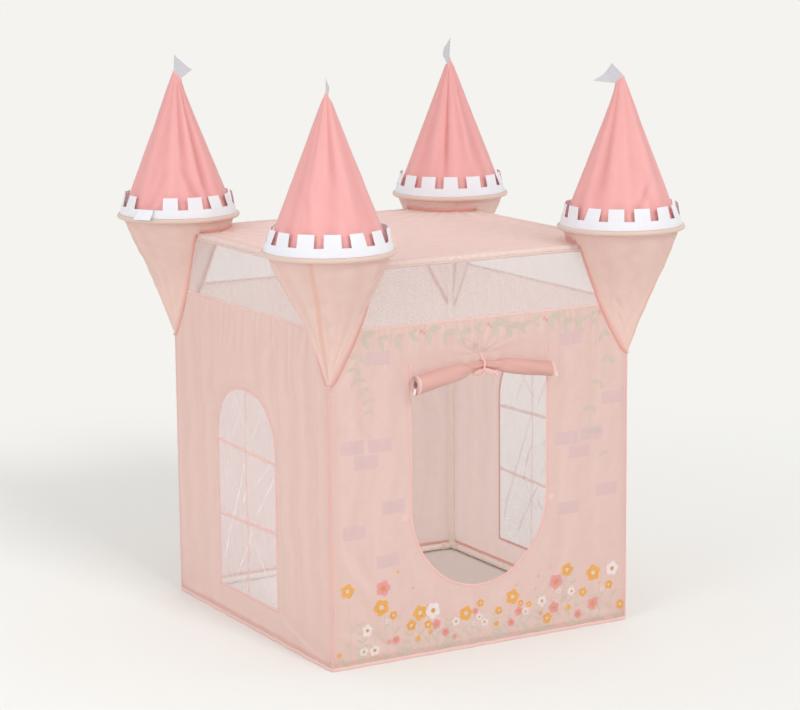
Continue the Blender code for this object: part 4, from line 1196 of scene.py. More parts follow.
def make_battlements():
    """White felt bands with fourteen merlons each, every merlon with its own lean."""
    look = settings()
    felt = cloth_material("White felt", look.white_colour, through=0.22, sheen=0.1, coarse=1.6, crinkle=0.3)
    slope = (BAND_RADIUS - BAND_TOP_RADIUS) / BAND_HEIGHT
    pitch = FULL_TURN / MERLONS
    rows, wide, narrow = 5, 9, 5
    low_rows = np.linspace(0, BAND_STRIP, rows)
    high_rows = np.linspace(BAND_STRIP, BAND_HEIGHT, 9)[1:]
    for index, corner in enumerate(CORNERS):
        random = np.random.default_rng(210 + index)
        # Points as radius, turn and height above the band's foot
        points, flat, columns = [], [], []
        for merlon in range(MERLONS):
            start = merlon * pitch
            end = pitch * (MERLON_SHARE + random.uniform(-0.03, 0.03))
            columns += list(start + np.linspace(0, end, wide))
            columns += list(start + np.linspace(end, pitch, narrow + 2)[1:-1])
        for turn in columns:
            for height in low_rows:
                wave = 0.0008 * math.sin(turn * 9 + index) + 0.0005 * math.sin(turn * 23 + index)
                points.append((BAND_RADIUS - slope * height + wave * height / BAND_STRIP, turn, height))
                flat.append((turn * BAND_RADIUS, height))
        faces = grid_faces(len(columns), rows, closed=True).tolist()
        for merlon in range(MERLONS):
            lean = math.radians(FALLEN_MERLONS[corner].get(merlon, random.uniform(-7, 6)))
            curl = random.uniform(-0.0018, 0.0022)
            twist = random.uniform(-0.0022, 0.0022)
            first = merlon * (wide + narrow)
            above = [[(first + k) * rows + rows - 1 for k in range(wide)]]
            for height in high_rows:
                up = height - BAND_STRIP
                row = []
                for k in range(wide):
                    turn = columns[first + k]
                    side = k / 4 - 1
                    bend = lean * min(1.0, up / 0.012)
                    turned = lean * (1 if abs(lean) < 0.6 else min(1.0, up / 0.008))
                    out = up * math.sin(turned) - up * slope * math.cos(turned)
                    rise = up * math.cos(turned)
                    out += curl * side * side * (up / 0.036) + twist * side * (up / 0.036)
                    if abs(bend) > 0.6:
                        out += 0.004 * math.sin(min(1.0, up / 0.012) * math.pi)
                    row.append(len(points))
                    points.append((BAND_RADIUS - slope * BAND_STRIP + out, turn, BAND_STRIP + rise))
                    flat.append((turn * BAND_RADIUS, height))
                above.append(row)
            for low, high in zip(above, above[1:]):
                faces += [(low[k], low[k + 1], high[k + 1], high[k]) for k in range(wide - 1)]
        radius, turn, height = np.array(points).T
        turn = turn + BAND_TURNS[corner]
        outer = np.stack([radius * np.cos(turn), radius * np.sin(turn), BAND_FOOT + height], 1) + foot_of(corner)
        mesh = sheet_mesh(f"battlement_{corner}", outer, np.array(faces), np.array(flat), 0.0009)
        band = add_piece(f"battlement_{corner}", mesh, felt, "tent", [f"turret_battlement_{corner}"])


# Each flag's way along its seam, its lean out of the seam's plane in degrees, and the curl at its tip
FLAGS = {
    "front_left": (1, 17, 0.006), "front_right": (1, 0, 0.005),
    "back_right": (-1, -4, 0.008), "back_left": (-1, 55, 0.005),
}


def make_flags():
    look = settings()
    cloth = cloth_material("Flag cloth", look.flag_colour, through=0.3, sheen=0.2, coarse=0.8)
    columns, rows = 26, 24
    for corner, (flip, lean, curl) in FLAGS.items():
        u, v = np.meshgrid(np.linspace(0, 1, columns), np.linspace(0, 1, rows), indexing="ij")
        left = -0.017 + 0.001 * v
        right = 0.017 * (1 - v) ** 2 + 0.075 * v * (1 - v) + 0.058 * v ** 2
        x = left + (right - left) * u
        y = 0.0007 + (0.050 - 0.0007) * v - 0.0065 * np.sin(np.pi * u) * v ** 2
        z = curl * v * np.sin(np.pi * (0.2 + 1.1 * u)) + 0.0012 * np.sin(9 * u + 3 * v) * v
        points = np.stack([flip * x, y, z], -1).reshape(-1, 3)
        faces = grid_faces(columns, rows)
        if flip < 0:
            faces = faces[:, ::-1]
        half_thickness = normals_of(points, faces) * 0.0003
        outer, inner = points + half_thickness, points - half_thickness
        turn = math.radians(lean)
        inward = turn_to_corner(np.array([1, 1, 0]) / math.sqrt(2), corner)
        sideways = np.array([-inward[1], inward[0], 0])
        down_seam = inward * math.cos(SEAM_TILT) - np.array([0, 0, math.sin(SEAM_TILT)])
        out_of_seam = inward * math.sin(SEAM_TILT) + np.array([0, 0, math.cos(SEAM_TILT)])
        cloth_way = out_of_seam * math.cos(turn) + sideways * math.sin(turn)
        axes = np.stack([down_seam, cloth_way, np.cross(down_seam, cloth_way)], 0)
        centre = foot_of(corner) + (0, 0, SEAM_HEIGHT) + inward * SEAM_SHIFT
        flat = points[:, :2]
        mesh = shell_mesh(f"flag_cloth_{corner}", outer @ axes + centre, inner @ axes + centre, faces, flat)
        flag = add_piece(f"flag_cloth_{corner}", mesh, cloth, f"pennant_{corner}", [f"flag_{corner}"])


# Rolled door flap

ROLL_RADIUS = 0.0262
ROLL_PINCHED = 0.0128
ROLL_PINCH = 0.062
ROLL_DROOP = 0.035
ROLL_DROP = 0.028
ROLL_TURNS = 5.2
ROLL_PITCH = 0.11
HANGING_SHARE = 0.1
FLAP_FACE = -HALF - 0.0010


def roll_state(x):
    """Radius, centre height, outward shift and pinch of the roll at a place along it."""
    share = np.abs(x - DOOR_MIDDLE) / (DOOR_WIDTH / 2)
    pinch = np.exp(-((x - DOOR_MIDDLE) / ROLL_PINCH) ** 2)
    radius = ROLL_RADIUS * (1 - 0.11 * (x - DOOR_MIDDLE) / (DOOR_WIDTH / 2))
    radius = radius - (radius - ROLL_PINCHED) * pinch
    centre = DOOR_TOP - ROLL_DROP - ROLL_DROOP * share ** 1.15
    return radius, centre, 0.0022 * pinch, pinch


def roll_point(x, share, out=0.0):
    """A point of the flap: down its hanging part, then round the spiral outwards."""
    x, share = np.broadcast_arrays(np.asarray(x, float), np.asarray(share, float))
    radius, centre, shift, pinch = roll_state(x)
    face = FLAP_FACE - shift
    turns = ROLL_TURNS * np.clip((share - HANGING_SHARE) / (1 - HANGING_SHARE), 0, 1)
    turn = FULL_TURN * turns
    apart = np.abs(x - DOOR_MIDDLE)
    spokes = np.cos(turn * 5 + np.sign(x - DOOR_MIDDLE) * apart * 28 + 0.6)
    wrinkle = -0.0034 * (0.5 + 0.5 * spokes) * np.exp(-apart / 0.055)
    wrinkle = wrinkle - 0.0015 * (0.5 + 0.5 * np.cos(turn * 3 + x * 35)) * (1 - pinch)
    wrinkle = wrinkle - 0.0030 * np.exp(-((apart - 0.050 - 0.012 * np.sin(turn * 2 + x * 9)) / 0.010) ** 2)
    local = (radius + wrinkle) * (1 - ROLL_PITCH * turns) + out
    round_y = face - radius + local * np.cos(turn)
    round_z = centre - local * np.sin(turn)
    hang = np.clip(share / HANGING_SHARE, 0, 1)
    join_y = face + out
    hanging = share < HANGING_SHARE
    swag = -0.0030 * np.sin(np.pi * hang) * (0.5 + 0.5 * np.cos(apart * 120)) * np.exp(-apart / 0.09)
    y = np.where(hanging, join_y + swag + (round_y - join_y) * hang ** 2, round_y)
    z = np.where(hanging, DOOR_TOP + (round_z - DOOR_TOP) * hang, round_z)
    return np.stack([x, y, z], -1)


def make_door_flap():
    look = settings()
    cloth = cloth_material(
        "Flap cloth", look.flap_colour, through=0.36, sheen=0.35, crinkle=0.8, painted_fold_shade=0.12, gloss=0.45, passes=0.8,
    )
    edge = cloth_material("Flap binding", pigment(254, 219, 212), through=0.3, sheen=0.3, coarse=0.6)
    ribbon = cloth_material("Tie ribbon", pigment(251, 202, 196), through=0.2, sheen=0.4, coarse=0.6)
    fuzz = cloth_material("Fastener tape", pigment(253, 247, 245), through=0.2, sheen=0.2, coarse=2.0)
    half = DOOR_WIDTH / 2 - 0.0012
    columns = 120
    along = DOOR_MIDDLE + np.linspace(-half, half, columns)[:, None]
    for name, share, finish, replaced in (
        ("door_flap_roll", np.linspace(HANGING_SHARE, 1, 164), cloth, ["door_roll"]),
        ("door_flap_top", np.linspace(0, HANGING_SHARE, 12), wall_cloth(), []),
    ):
        points = roll_point(along, share).reshape(-1, 3)
        faces = grid_faces(columns, len(share))[:, ::-1]
        half_thickness = normals_of(points, faces) * 0.0003
        outer = points + half_thickness
        flat = np.stack(np.broadcast_arrays(along, share * 0.65), -1).reshape(-1, 2)
        mesh = shell_mesh(name, outer, points - half_thickness, faces, flat)
        note_fold_shading(mesh, outer, faces)
        add_piece(name, mesh, finish, "door_flap", replaced)
    lines = []
    ring = np.linspace(0.012, 1, 200)
    for end in (-1, 1):
        x = DOOR_MIDDLE + end * (half - 0.0022)
        line = roll_point(x, ring)
        facing = unit(roll_point(x, ring, 0.001) - line)
        facing[ring < HANGING_SHARE] = (0, -1, 0)
        lines.append((line, facing, False))
    ends = sew("door_flap_binding", lines, 0.0080, 0.0018, edge, 0.0004, 0.012, body="door_flap")
    tabs = make_flap_tabs(fuzz)
    tie = make_tie(ribbon)


def make_flap_tabs(material):
    """The flap's own fastening tabs, which peep out of the ends of the roll."""
    made = []
    for name, end, curl in (("left", -1, 2.6), ("right", 1, 0.7)):
        x0 = DOOR_MIDDLE + end * (DOOR_WIDTH / 2 - 0.006)
        radius, centre, _, _ = roll_state(np.array(x0))
        u, v = np.meshgrid(np.linspace(0, 1, 14), np.linspace(-0.5, 0.5, 10), indexing="ij")
        x = x0 + end * (0.022 * u - 0.002 * v * u) - end * 0.004 * (1 - np.cos(u * curl)) * (curl > 1)
        y = FLAP_FACE - radius * (1.05 + 0.30 * np.sin(u * curl))
        z = centre - 0.42 * radius + 0.0150 * v - 0.0060 * u ** 1.3
        points = np.stack([x, y, z], -1).reshape(-1, 3)
        mesh = sheet_mesh(f"door_flap_tab_{name}", points, grid_faces(*u.shape), points[:, [0, 2]], 0.0008, 0.0004)
        made.append(add_piece(f"door_flap_tab_{name}", mesh, material, "door_flap"))
    return made


def make_tie(material):
    """Ribbon over the pinched roll, knotted below it, with a loop and loose ends."""
    radius, centre, shift, _ = roll_state(np.array(DOOR_MIDDLE))
    axis_y = FLAP_FACE - shift - radius
    clear = radius + 0.0012

    def around_roll(start, end, steps):
        """Places and facings of a ribbon laid round the roll, between two turns."""
        turns = np.linspace(start, end, steps)
        facing = np.stack([0 * turns, -np.cos(turns), -np.sin(turns)], 1)
        return (DOOR_MIDDLE, axis_y, centre) + clear * facing, facing

    strap, strap_out = around_roll(-0.42 * np.pi, 0.5 * np.pi, 40)
    lead = [(DOOR_MIDDLE, -HALF - 0.0035, DOOR_TOP + 0.0035), (DOOR_MIDDLE, -HALF - 0.009, DOOR_TOP + 0.0005)]
    path = np.concatenate([lead, strap])
    path[:, 0] += 0.0012 * np.sin(np.linspace(0, 9, len(path)))
    out = np.concatenate([[(0, -0.7, 0.7), (0, -0.8, 0.6)], strap_out])
    back, back_out = around_roll(0.5 * np.pi, 1.30 * np.pi, 24)
    knot = Vector((DOOR_MIDDLE, axis_y - clear * 0.62, centre - clear * 0.86))
    lines = [(path, out, False), (back, back_out, False)]
    front = np.array([0, -1, 0.15])
    front = front / np.linalg.norm(front)
    # A loop to the lower left, then the loose ends to the lower right
    turn = np.linspace(0.1, FULL_TURN - 0.1, 36)
    loop = np.stack([
        knot.x - 0.019 + 0.019 * np.cos(turn), knot.y - 0.003 - 0.003 * np.sin(turn * 0.5),
        knot.z - 0.006 + 0.0085 * np.sin(turn) - 0.006 * (1 - np.cos(turn)) / 2,
    ], 1)
    lines.append((loop, np.array([0.0, -0.35, 0.94]), False))
    for reach, fall, sway in ((0.046, 0.020, 0.0022), (0.040, 0.027, -0.0018)):
        share = np.linspace(0, 1, 26)
        end = np.stack([
            knot.x + reach * share, knot.y - 0.0035 + sway * np.sin(share * 5),
            knot.z - 0.002 - fall * share ** 1.25 + 0.004 * np.sin(share * np.pi),
        ], 1)
        lines.append((end, front, False))
    tie = sew("door_tie_ribbon", lines, 0.0074, 0.0010, material, 0.0004, 0.01, body="door_flap")
    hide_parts("door_tie")
    # The knot: a lumpy ball, with a point at its foot and one at its top
    columns, rows, tall = 28, 18, (0, 0, 0.0056)
    u, v = np.meshgrid(np.linspace(0, FULL_TURN, columns, endpoint=False), np.linspace(-1, 1, rows), indexing="ij")
    polar = np.arcsin(np.clip(v, -0.999, 0.999))
    swell = 1 + 0.14 * np.cos(3 * u + 4 * v) + 0.08 * np.cos(7 * u - 5 * v)
    ball = np.stack([
        0.0062 * swell * np.cos(polar) * np.cos(u), 0.0048 * swell * np.cos(polar) * np.sin(u),
        0.0056 * np.sin(polar),
    ], -1).reshape(-1, 3) + np.array(knot)
    ball = np.concatenate([ball, [np.array(knot) - tall, np.array(knot) + tall]])
    faces = grid_faces(columns, rows, closed=True).tolist()
    foot, top = columns * rows, columns * rows + 1
    for k in range(columns):
        here, after = k * rows, (k + 1) % columns * rows
        faces += [(foot, after, here), (top, here + rows - 1, after + rows - 1)]
    mesh = mesh_of("door_tie_knot", ball, faces, ball[:, [0, 2]], 80)
    add_piece("door_tie_knot", mesh, material, "door_flap")
    return tie


# Bindings, hems and stitches of the walls and seams

def make_trims():
    look = settings()
    binding = cloth_material("Bias binding", look.binding_colour, through=0.4, sheen=0.35, coarse=0.6, passes=0.3)
    piping = cloth_material("Piping", look.piping_colour, through=0.5, sheen=0.35, coarse=0.6, passes=0.4)
    foot_cloth = cloth_material("Foot hem cloth", pigment(255, 214, 206), through=0.2, sheen=0.2, coarse=0.6)
    hem_cloth = cloth_material("Hem cloth", pigment(255, 226, 218), through=0.5, sheen=0.2, coarse=0.6)
    inside_cloth = cloth_material(
        "Inner hem cloth", pigment(253, 213, 203), through=0.72, sheen=0.2, coarse=0.6, passes=0.5,
    )
    thread = cloth_material("Thread", pigment(252, 222, 216), through=0.0, sheen=0.1, coarse=0.3)
    for index, side in enumerate(SIDES):
        rows = []
        made = make_hems(side, index, rows, hem_cloth, foot_cloth, inside_cloth)
        made += make_wall_bindings(side, index, rows, binding)
        made += make_pipings(side, index, rows, piping, binding, thread)
        # Band between the net and the sleeve of the roof
        reach = HALF - seam_reach(np.array(NET_TOP)) - 0.002
        across = np.linspace(-reach, reach, 260)
        lines = [(wall_place(side, across, NET_TOP - 0.003, -0.0026), facing_of(side), False)]
        made.append(sew(
            f"net_seam_{side}", lines, 0.0048, 0.0012, hem_cloth, 0.0012, 0.012, 40.0 + index,
        ))
        if side == "front":
            made += make_print()
    make_roof_trims(piping, binding, thread)


def make_hems(side, index, rows, hem_cloth, foot_cloth, inside_cloth):
    """The gathered hem, the foot hem and the inner hem of a wall; adds their stitches to rows."""
    look = settings()
    facing = facing_of(side)
    made = []
    # Gathered hem under the net, between the U seams
    reach = HALF - seam_reach(np.array(HEM)) - 0.001
    across = np.linspace(-reach, reach, 340)
    lines = [(on_wall(side, across, HEM - 0.0005, 0.0006), facing, False)]
    made.append(sew(f"hem_top_{side}", lines, 0.0078, 0.0018, hem_cloth, 0.0060, 0.011, 3.0 + index))
    rows.append((on_wall(side, across, HEM - 0.0062, 0.0012), facing, False))
    # Foot hem
    across = np.linspace(-HALF + 0.001, HALF - 0.001, 240)
    lines = [(on_wall(side, across, 0.0056, -0.0002), facing, False)]
    made.append(sew(f"hem_foot_{side}", lines, 0.0100, 0.0015, foot_cloth, 0.0005, 0.02, 8.0 + index))
    rows.append((on_wall(side, across, 0.0088, 0.0003), facing, False))
    # Inner hem, which shows above the base bars
    across = np.linspace(-HALF + 0.004, HALF - 0.004, 90)
    a, h = np.meshgrid(across, np.linspace(0.0175, 0.0262, 9), indexing="ij")
    sway = 0.00012 * uneven_wave(a, 0.05, 300 + index)
    outer = on_wall(side, a, h, -look.cloth_thickness - 0.0003 + sway).reshape(-1, 3)
    flat = np.stack([a, h], -1).reshape(-1, 2)
    mesh = shell_mesh(f"hem_inside_{side}", outer, outer - facing * 0.0003, grid_faces(*a.shape), flat)
    made.append(add_piece(f"hem_inside_{side}", mesh, inside_cloth, "tent"))
    return made


def make_wall_bindings(side, index, rows, binding):
    """The bindings of a wall's corner seams and openings; adds their stitches to rows."""
    look = settings()
    facing = facing_of(side)
    made = []
    # Corner bindings, up to the tip of the lower cones
    height = np.linspace(0.010, SKIRT_TIP + 0.002, 260)
    lines = []
    for end in (-1, 1):
        lines.append((on_wall(side, end * (HALF - 0.0026), height, 0.0001), facing, False))
        rows.append((on_wall(side, end * (HALF - 0.0078), height, 0.0003), facing, False))
    made.append(sew(f"corner_binding_{side}", lines, 0.0056, 0.0013, binding, 0.0011, 0.013, 12.0 + index))
    # Edges of the openings
    for loop in openings(side):
        closed = side != "front"
        # The doorway's binding leaves out its top, where the flap hangs
        if not closed:
            loop = np.concatenate([[(loop[0, 0], DOOR_TOP)], loop[:-2], [(loop[-3, 0], DOOR_TOP)]])
        line = on_wall(side, *even_path(loop, 0.004, closed).T, -0.0003)
        width = look.binding_width + (0.001 if closed else 0)
        lines = [(line, facing, closed)]
        made.append(sew(f"opening_binding_{side}", lines, width, 0.0020, binding, 0.0006, 0.014, 20.0 + index))
        for gap in (-0.0025, 0.0025):
            rows.append((beside(line, facing, gap, 0.00105), facing, False))
    return made


def make_pipings(side, index, rows, piping, binding, thread):
    """The piping of a wall's U seams with the edge beside it, and the stitches of all its rows."""
    facing = facing_of(side)
    bend = SKIRT_TIP + 0.03
    height = np.concatenate([np.linspace(SKIRT_TIP + 0.0003, bend, 30), np.linspace(bend, NET_TOP, 90)[1:]])
    lines, edges = [], []
    for end in (-1, 1):
        across = end * (HALF - seam_reach(height))
        depth = np.where(height < HEM, wall_depth(side, across, np.minimum(height, HEM)), 0)
        line = wall_place(side, across - end * 0.0024, height, depth + 0.0006)
        lines.append((line, facing, False))
        edges.append((beside(line, facing, end * 0.0040, 0.0012), facing, False))
        rows.append((beside(line, facing, -end * 0.0062, 0.0002), facing, False))
    return [
        sew(f"turret_piping_{side}", lines, 0.0060, 0.0034, piping, 0.0009, 0.012, 30.0 + index),
        stitch(f"wall_stitches_{side}", rows, thread),
        sew(f"turret_piping_edge_{side}", edges, 0.0034, 0.0022, binding, 0.0005, 0.012, 36.0 + index),
    ]


def make_roof_trims(piping, binding, thread):
    """Seams where the roof meets the turrets, and the stitching of its sleeves."""
    lines = []
    turn = np.linspace(-0.02, np.pi / 2 + 0.02, 90)
    inward = np.stack([np.cos(turn), np.sin(turn), 0 * turn], 1)
    for corner in CORNERS:
        line = to_corner(inward * (skirt_ring(ROOF_TOP + 0.007)[0] + 0.0018), corner)
        line[:, 2] = roof_height_at(line[:, 0], line[:, 1]) + 0.0072
        lines.append((line, turn_to_corner(inward, corner), False))
    sew("roof_turret_seams", lines, 0.0085, 0.0030, piping, 0.0022, 0.014, 50.0)
    lines = [(beside(line, facing, -0.0048, 0.0010), facing, False) for line, facing, _ in lines]
    sew("roof_turret_edges", lines, 0.0036, 0.0024, binding, 0.0008, 0.012, 51.0)
    rows = []
    across = np.linspace(-0.34, 0.34, 220)[:, None]
    for side in SIDES:
        line = across * along_of(side) + (POLE - SLEEVE_SEAM) * facing_of(side)
        line[:, 2] = roof_height_at(line[:, 0], line[:, 1]) + 0.0004
        rows.append((line, (0, 0, 1), False))
    stitch("roof_stitches", rows, thread)
    # Doubled rings where each sleeve runs into a lower cone
    lines = []
    turns = np.linspace(0, FULL_TURN, 40, endpoint=False)
    out = np.stack([0 * turns, -np.cos(turns), np.sin(turns)], 1)
    place = POLE - skirt_ring(BAR_HEIGHT)[0] - 0.002
    for index in range(len(SIDES)):
        rotation = quarter_turns(index)
        for end in (-1, 1):
            ring = 0.0125 * out + (end * place, -POLE, BAR_HEIGHT)
            ring[:, 0] += end * 0.004 * np.cos(turns)
            lines.append((ring @ rotation.T, out @ rotation.T, True))
    sew("sleeve_cuffs", lines, 0.0070, 0.0016, piping, 0.0006, 0.012, 52.0)


def even_path(path, step, closed):
    """A flat outline resampled at an even step."""
    if closed:
        path = np.concatenate([path, path[:1]])
    way = np.linalg.norm(np.diff(path, axis=0), axis=1)
    length = np.concatenate([[0], np.cumsum(way)])
    count = max(8, int(length[-1] / step))
    places = np.linspace(0, length[-1], count + 1)
    if closed:
        places = places[:-1]
    return np.stack([np.interp(places, length, path[:, k]) for k in range(2)], 1)


def make_patches():
    fuzz = cloth_material("Fastener patch", pigment(246, 212, 205), through=0.25, sheen=0.3, coarse=2.2)
    half = 0.0098
    steps = np.linspace(-1, 1, 26)
    u, v = np.meshgrid(steps, steps, indexing="ij")
    corner = 1 - 0.06 * (np.abs(u * v) ** 4)
    for side, end in (("left", -1), ("right", 1)):
        x0 = DOOR_MIDDLE + end * (DOOR_WIDTH / 2 + 0.017)
        x = x0 + half * u * corner + 0.0006 * v
        h = PATCH_HEIGHT + half * v * corner - 0.0008 * u
        edge = np.minimum(1 - np.abs(u), 1 - np.abs(v))
        out = 0.0004 + 0.0011 * ease(edge, 0, 0.16) - 0.0004 * np.exp(-((edge - 0.18) / 0.05) ** 2)
        outer = on_wall("front", x, h, out).reshape(-1, 3)
        inner = on_wall("front", x, h, 0.0001).reshape(-1, 3)
        flat = np.stack([x, h], -1).reshape(-1, 2)
        mesh = shell_mesh(f"patch_{side}", outer, inner, grid_faces(*u.shape), flat, 35)
        add_piece(f"patch_{side}", mesh, fuzz, "tent", [f"door_patch_{side}"])


# Print of the front wall: plain blossoms, sprigs, berries and bricks

class InkLayer:
    """Thin printed shapes of one colour, collected in wall coordinates."""

    def __init__(self, name, colour, lift):
        self.name, self.colour, self.lift = name, colour, lift
        self.points, self.faces = [], []

    def fill(self, outline, rings=3):
        """An outline of (across, height), filled by rings of quads towards its middle."""
        middle = outline.mean(0)
        base, count = len(self.points), len(outline)
        for share in np.linspace(1, 0.04, rings):
            self.points += (middle + (outline - middle) * share).tolist()
        last = base + (rings - 1) * count
        for start in range(base, last, count):
            for k in range(count):
                a, b = start + k, start + (k + 1) % count
                self.faces.append((a, b, b + count, a + count))
        for k in range(1, count // 2):
            self.faces.append((last + k, last + k + 1, last + count - k - 1, last + (count - k) % count))

    def line(self, path, width):
        """A painted stem along a path, thinner at its ends."""
        path = even_path(path, 0.003, False)
        way = np.gradient(path, axis=0)
        taper = 0.35 + 0.65 * np.sin(np.pi * np.linspace(0.08, 0.92, len(path)))
        reach = unit(np.stack([-way[:, 1], way[:, 0]], 1)) * width / 2 * taper[:, None]
        base = len(self.points)
        self.points += np.stack([path - reach, path + reach], 1).reshape(-1, 2).tolist()
        for k in range(len(path) - 1):
            a = base + 2 * k
            self.faces.append((a, a + 2, a + 3, a + 1))


def placed(outline, turn, x, y):
    """An outline turned about its own origin and moved to x, y."""
    c, s = math.cos(turn), math.sin(turn)
    return np.asarray(outline) @ np.array([[c, s], [-s, c]]) + (x, y)


def petal(x, y, turn, length, width, notch=0.0, steps=14, point=0.8):
    """Outline of a petal or leaf from its root at x, y; point above 1 draws its tip out."""
    share = np.linspace(0, 1, steps)
    half = width / 2 * np.sin(np.pi * share ** (0.75 + 0.1 * (point > 1))) ** point
    along = share * length
    tip = np.concatenate([np.stack([along, half], 1), np.stack([along, -half], 1)[::-1][1:-1]])
    near_tip = np.exp(-((tip[:, 0] / length - 1) / 0.18) ** 2) * np.exp(-(tip[:, 1] / (0.2 * width)) ** 2)
    tip[:, 0] -= notch * length * near_tip
    return placed(tip, turn, x, y)


def round_spot(x, y, radius, steps=14):
    turn = np.linspace(0, FULL_TURN, steps, endpoint=False)
    return np.stack([x + radius * np.cos(turn), y + radius * np.sin(turn)], 1)


def block_shape(x, y, width, height, tilt, steps=20):
    """A brick with soft corners."""
    corners = np.array(SQUARE) * (width / 2, height / 2)
    share = (0.06 + 0.88 * np.arange(steps) / (steps - 1))[:, None]
    outline = [start + (end - start) * share for start, end in zip(corners, np.roll(corners, -1, 0))]
    return placed(np.concatenate(outline), tilt, x, y)


def paint_blossom(layers, taken, place, size, kind, random):
    """A five-petal blossom seen from the front, with a round middle, where there is room for it."""
    def crowded(share):
        return any(math.dist(place, other) < share * (size + wide) for other, wide in taken)

    if crowded(0.80):
        size *= 0.5
        if crowded(0.85):
            return
    taken.append((place, size))
    turn = random.uniform(0, FULL_TURN)
    for k in range(5):
        layers[kind].fill(petal(*place, turn + k * FULL_TURN / 5, size, size * 0.86, 0.10), 4)
    heart = "yellow" if kind != "yellow" else "white"
    layers[heart + "_top"].fill(round_spot(*place, size * 0.26))


def paint_sprig(green, path, size, random, every=4, spread=0.85, hang=0.0):
    """A stem with pointed leaves in pairs, each turned by hang towards the ground."""
    green.line(path, 0.0019)
    way = np.gradient(path, axis=0)
    for k in range(2, len(path), every):
        along = math.atan2(way[k, 1], way[k, 0])
        for side in (-1, 1):
            length = size * random.uniform(0.8, 1.15) * (1 - 0.35 * k / len(path))
            turn = along + side * spread * random.uniform(0.85, 1.2)
            turn += hang * turn_apart(-math.pi / 2, turn)
            green.fill(petal(*path[k], turn, length, length * 0.40, point=1.25))


def curved_stem(x, foot, height, lean, steps=20):
    """A stem from its foot up to a height, leaning over more and more."""
    share = np.linspace(0, 1, steps)
    return np.stack([x + lean * height * share ** 1.6, foot + (height - foot) * share], 1)


def free_height(x):
    """Room for the meadow at a place: up to the doorway, and higher beside it."""
    near = abs(x - DOOR_MIDDLE) / (DOOR_WIDTH / 2)
    low = DOOR_SILL + DOOR_CURVE * (1 - math.sqrt(max(0, 1 - min(near, 1) ** 2)))
    return min(low - 0.034, 0.30)


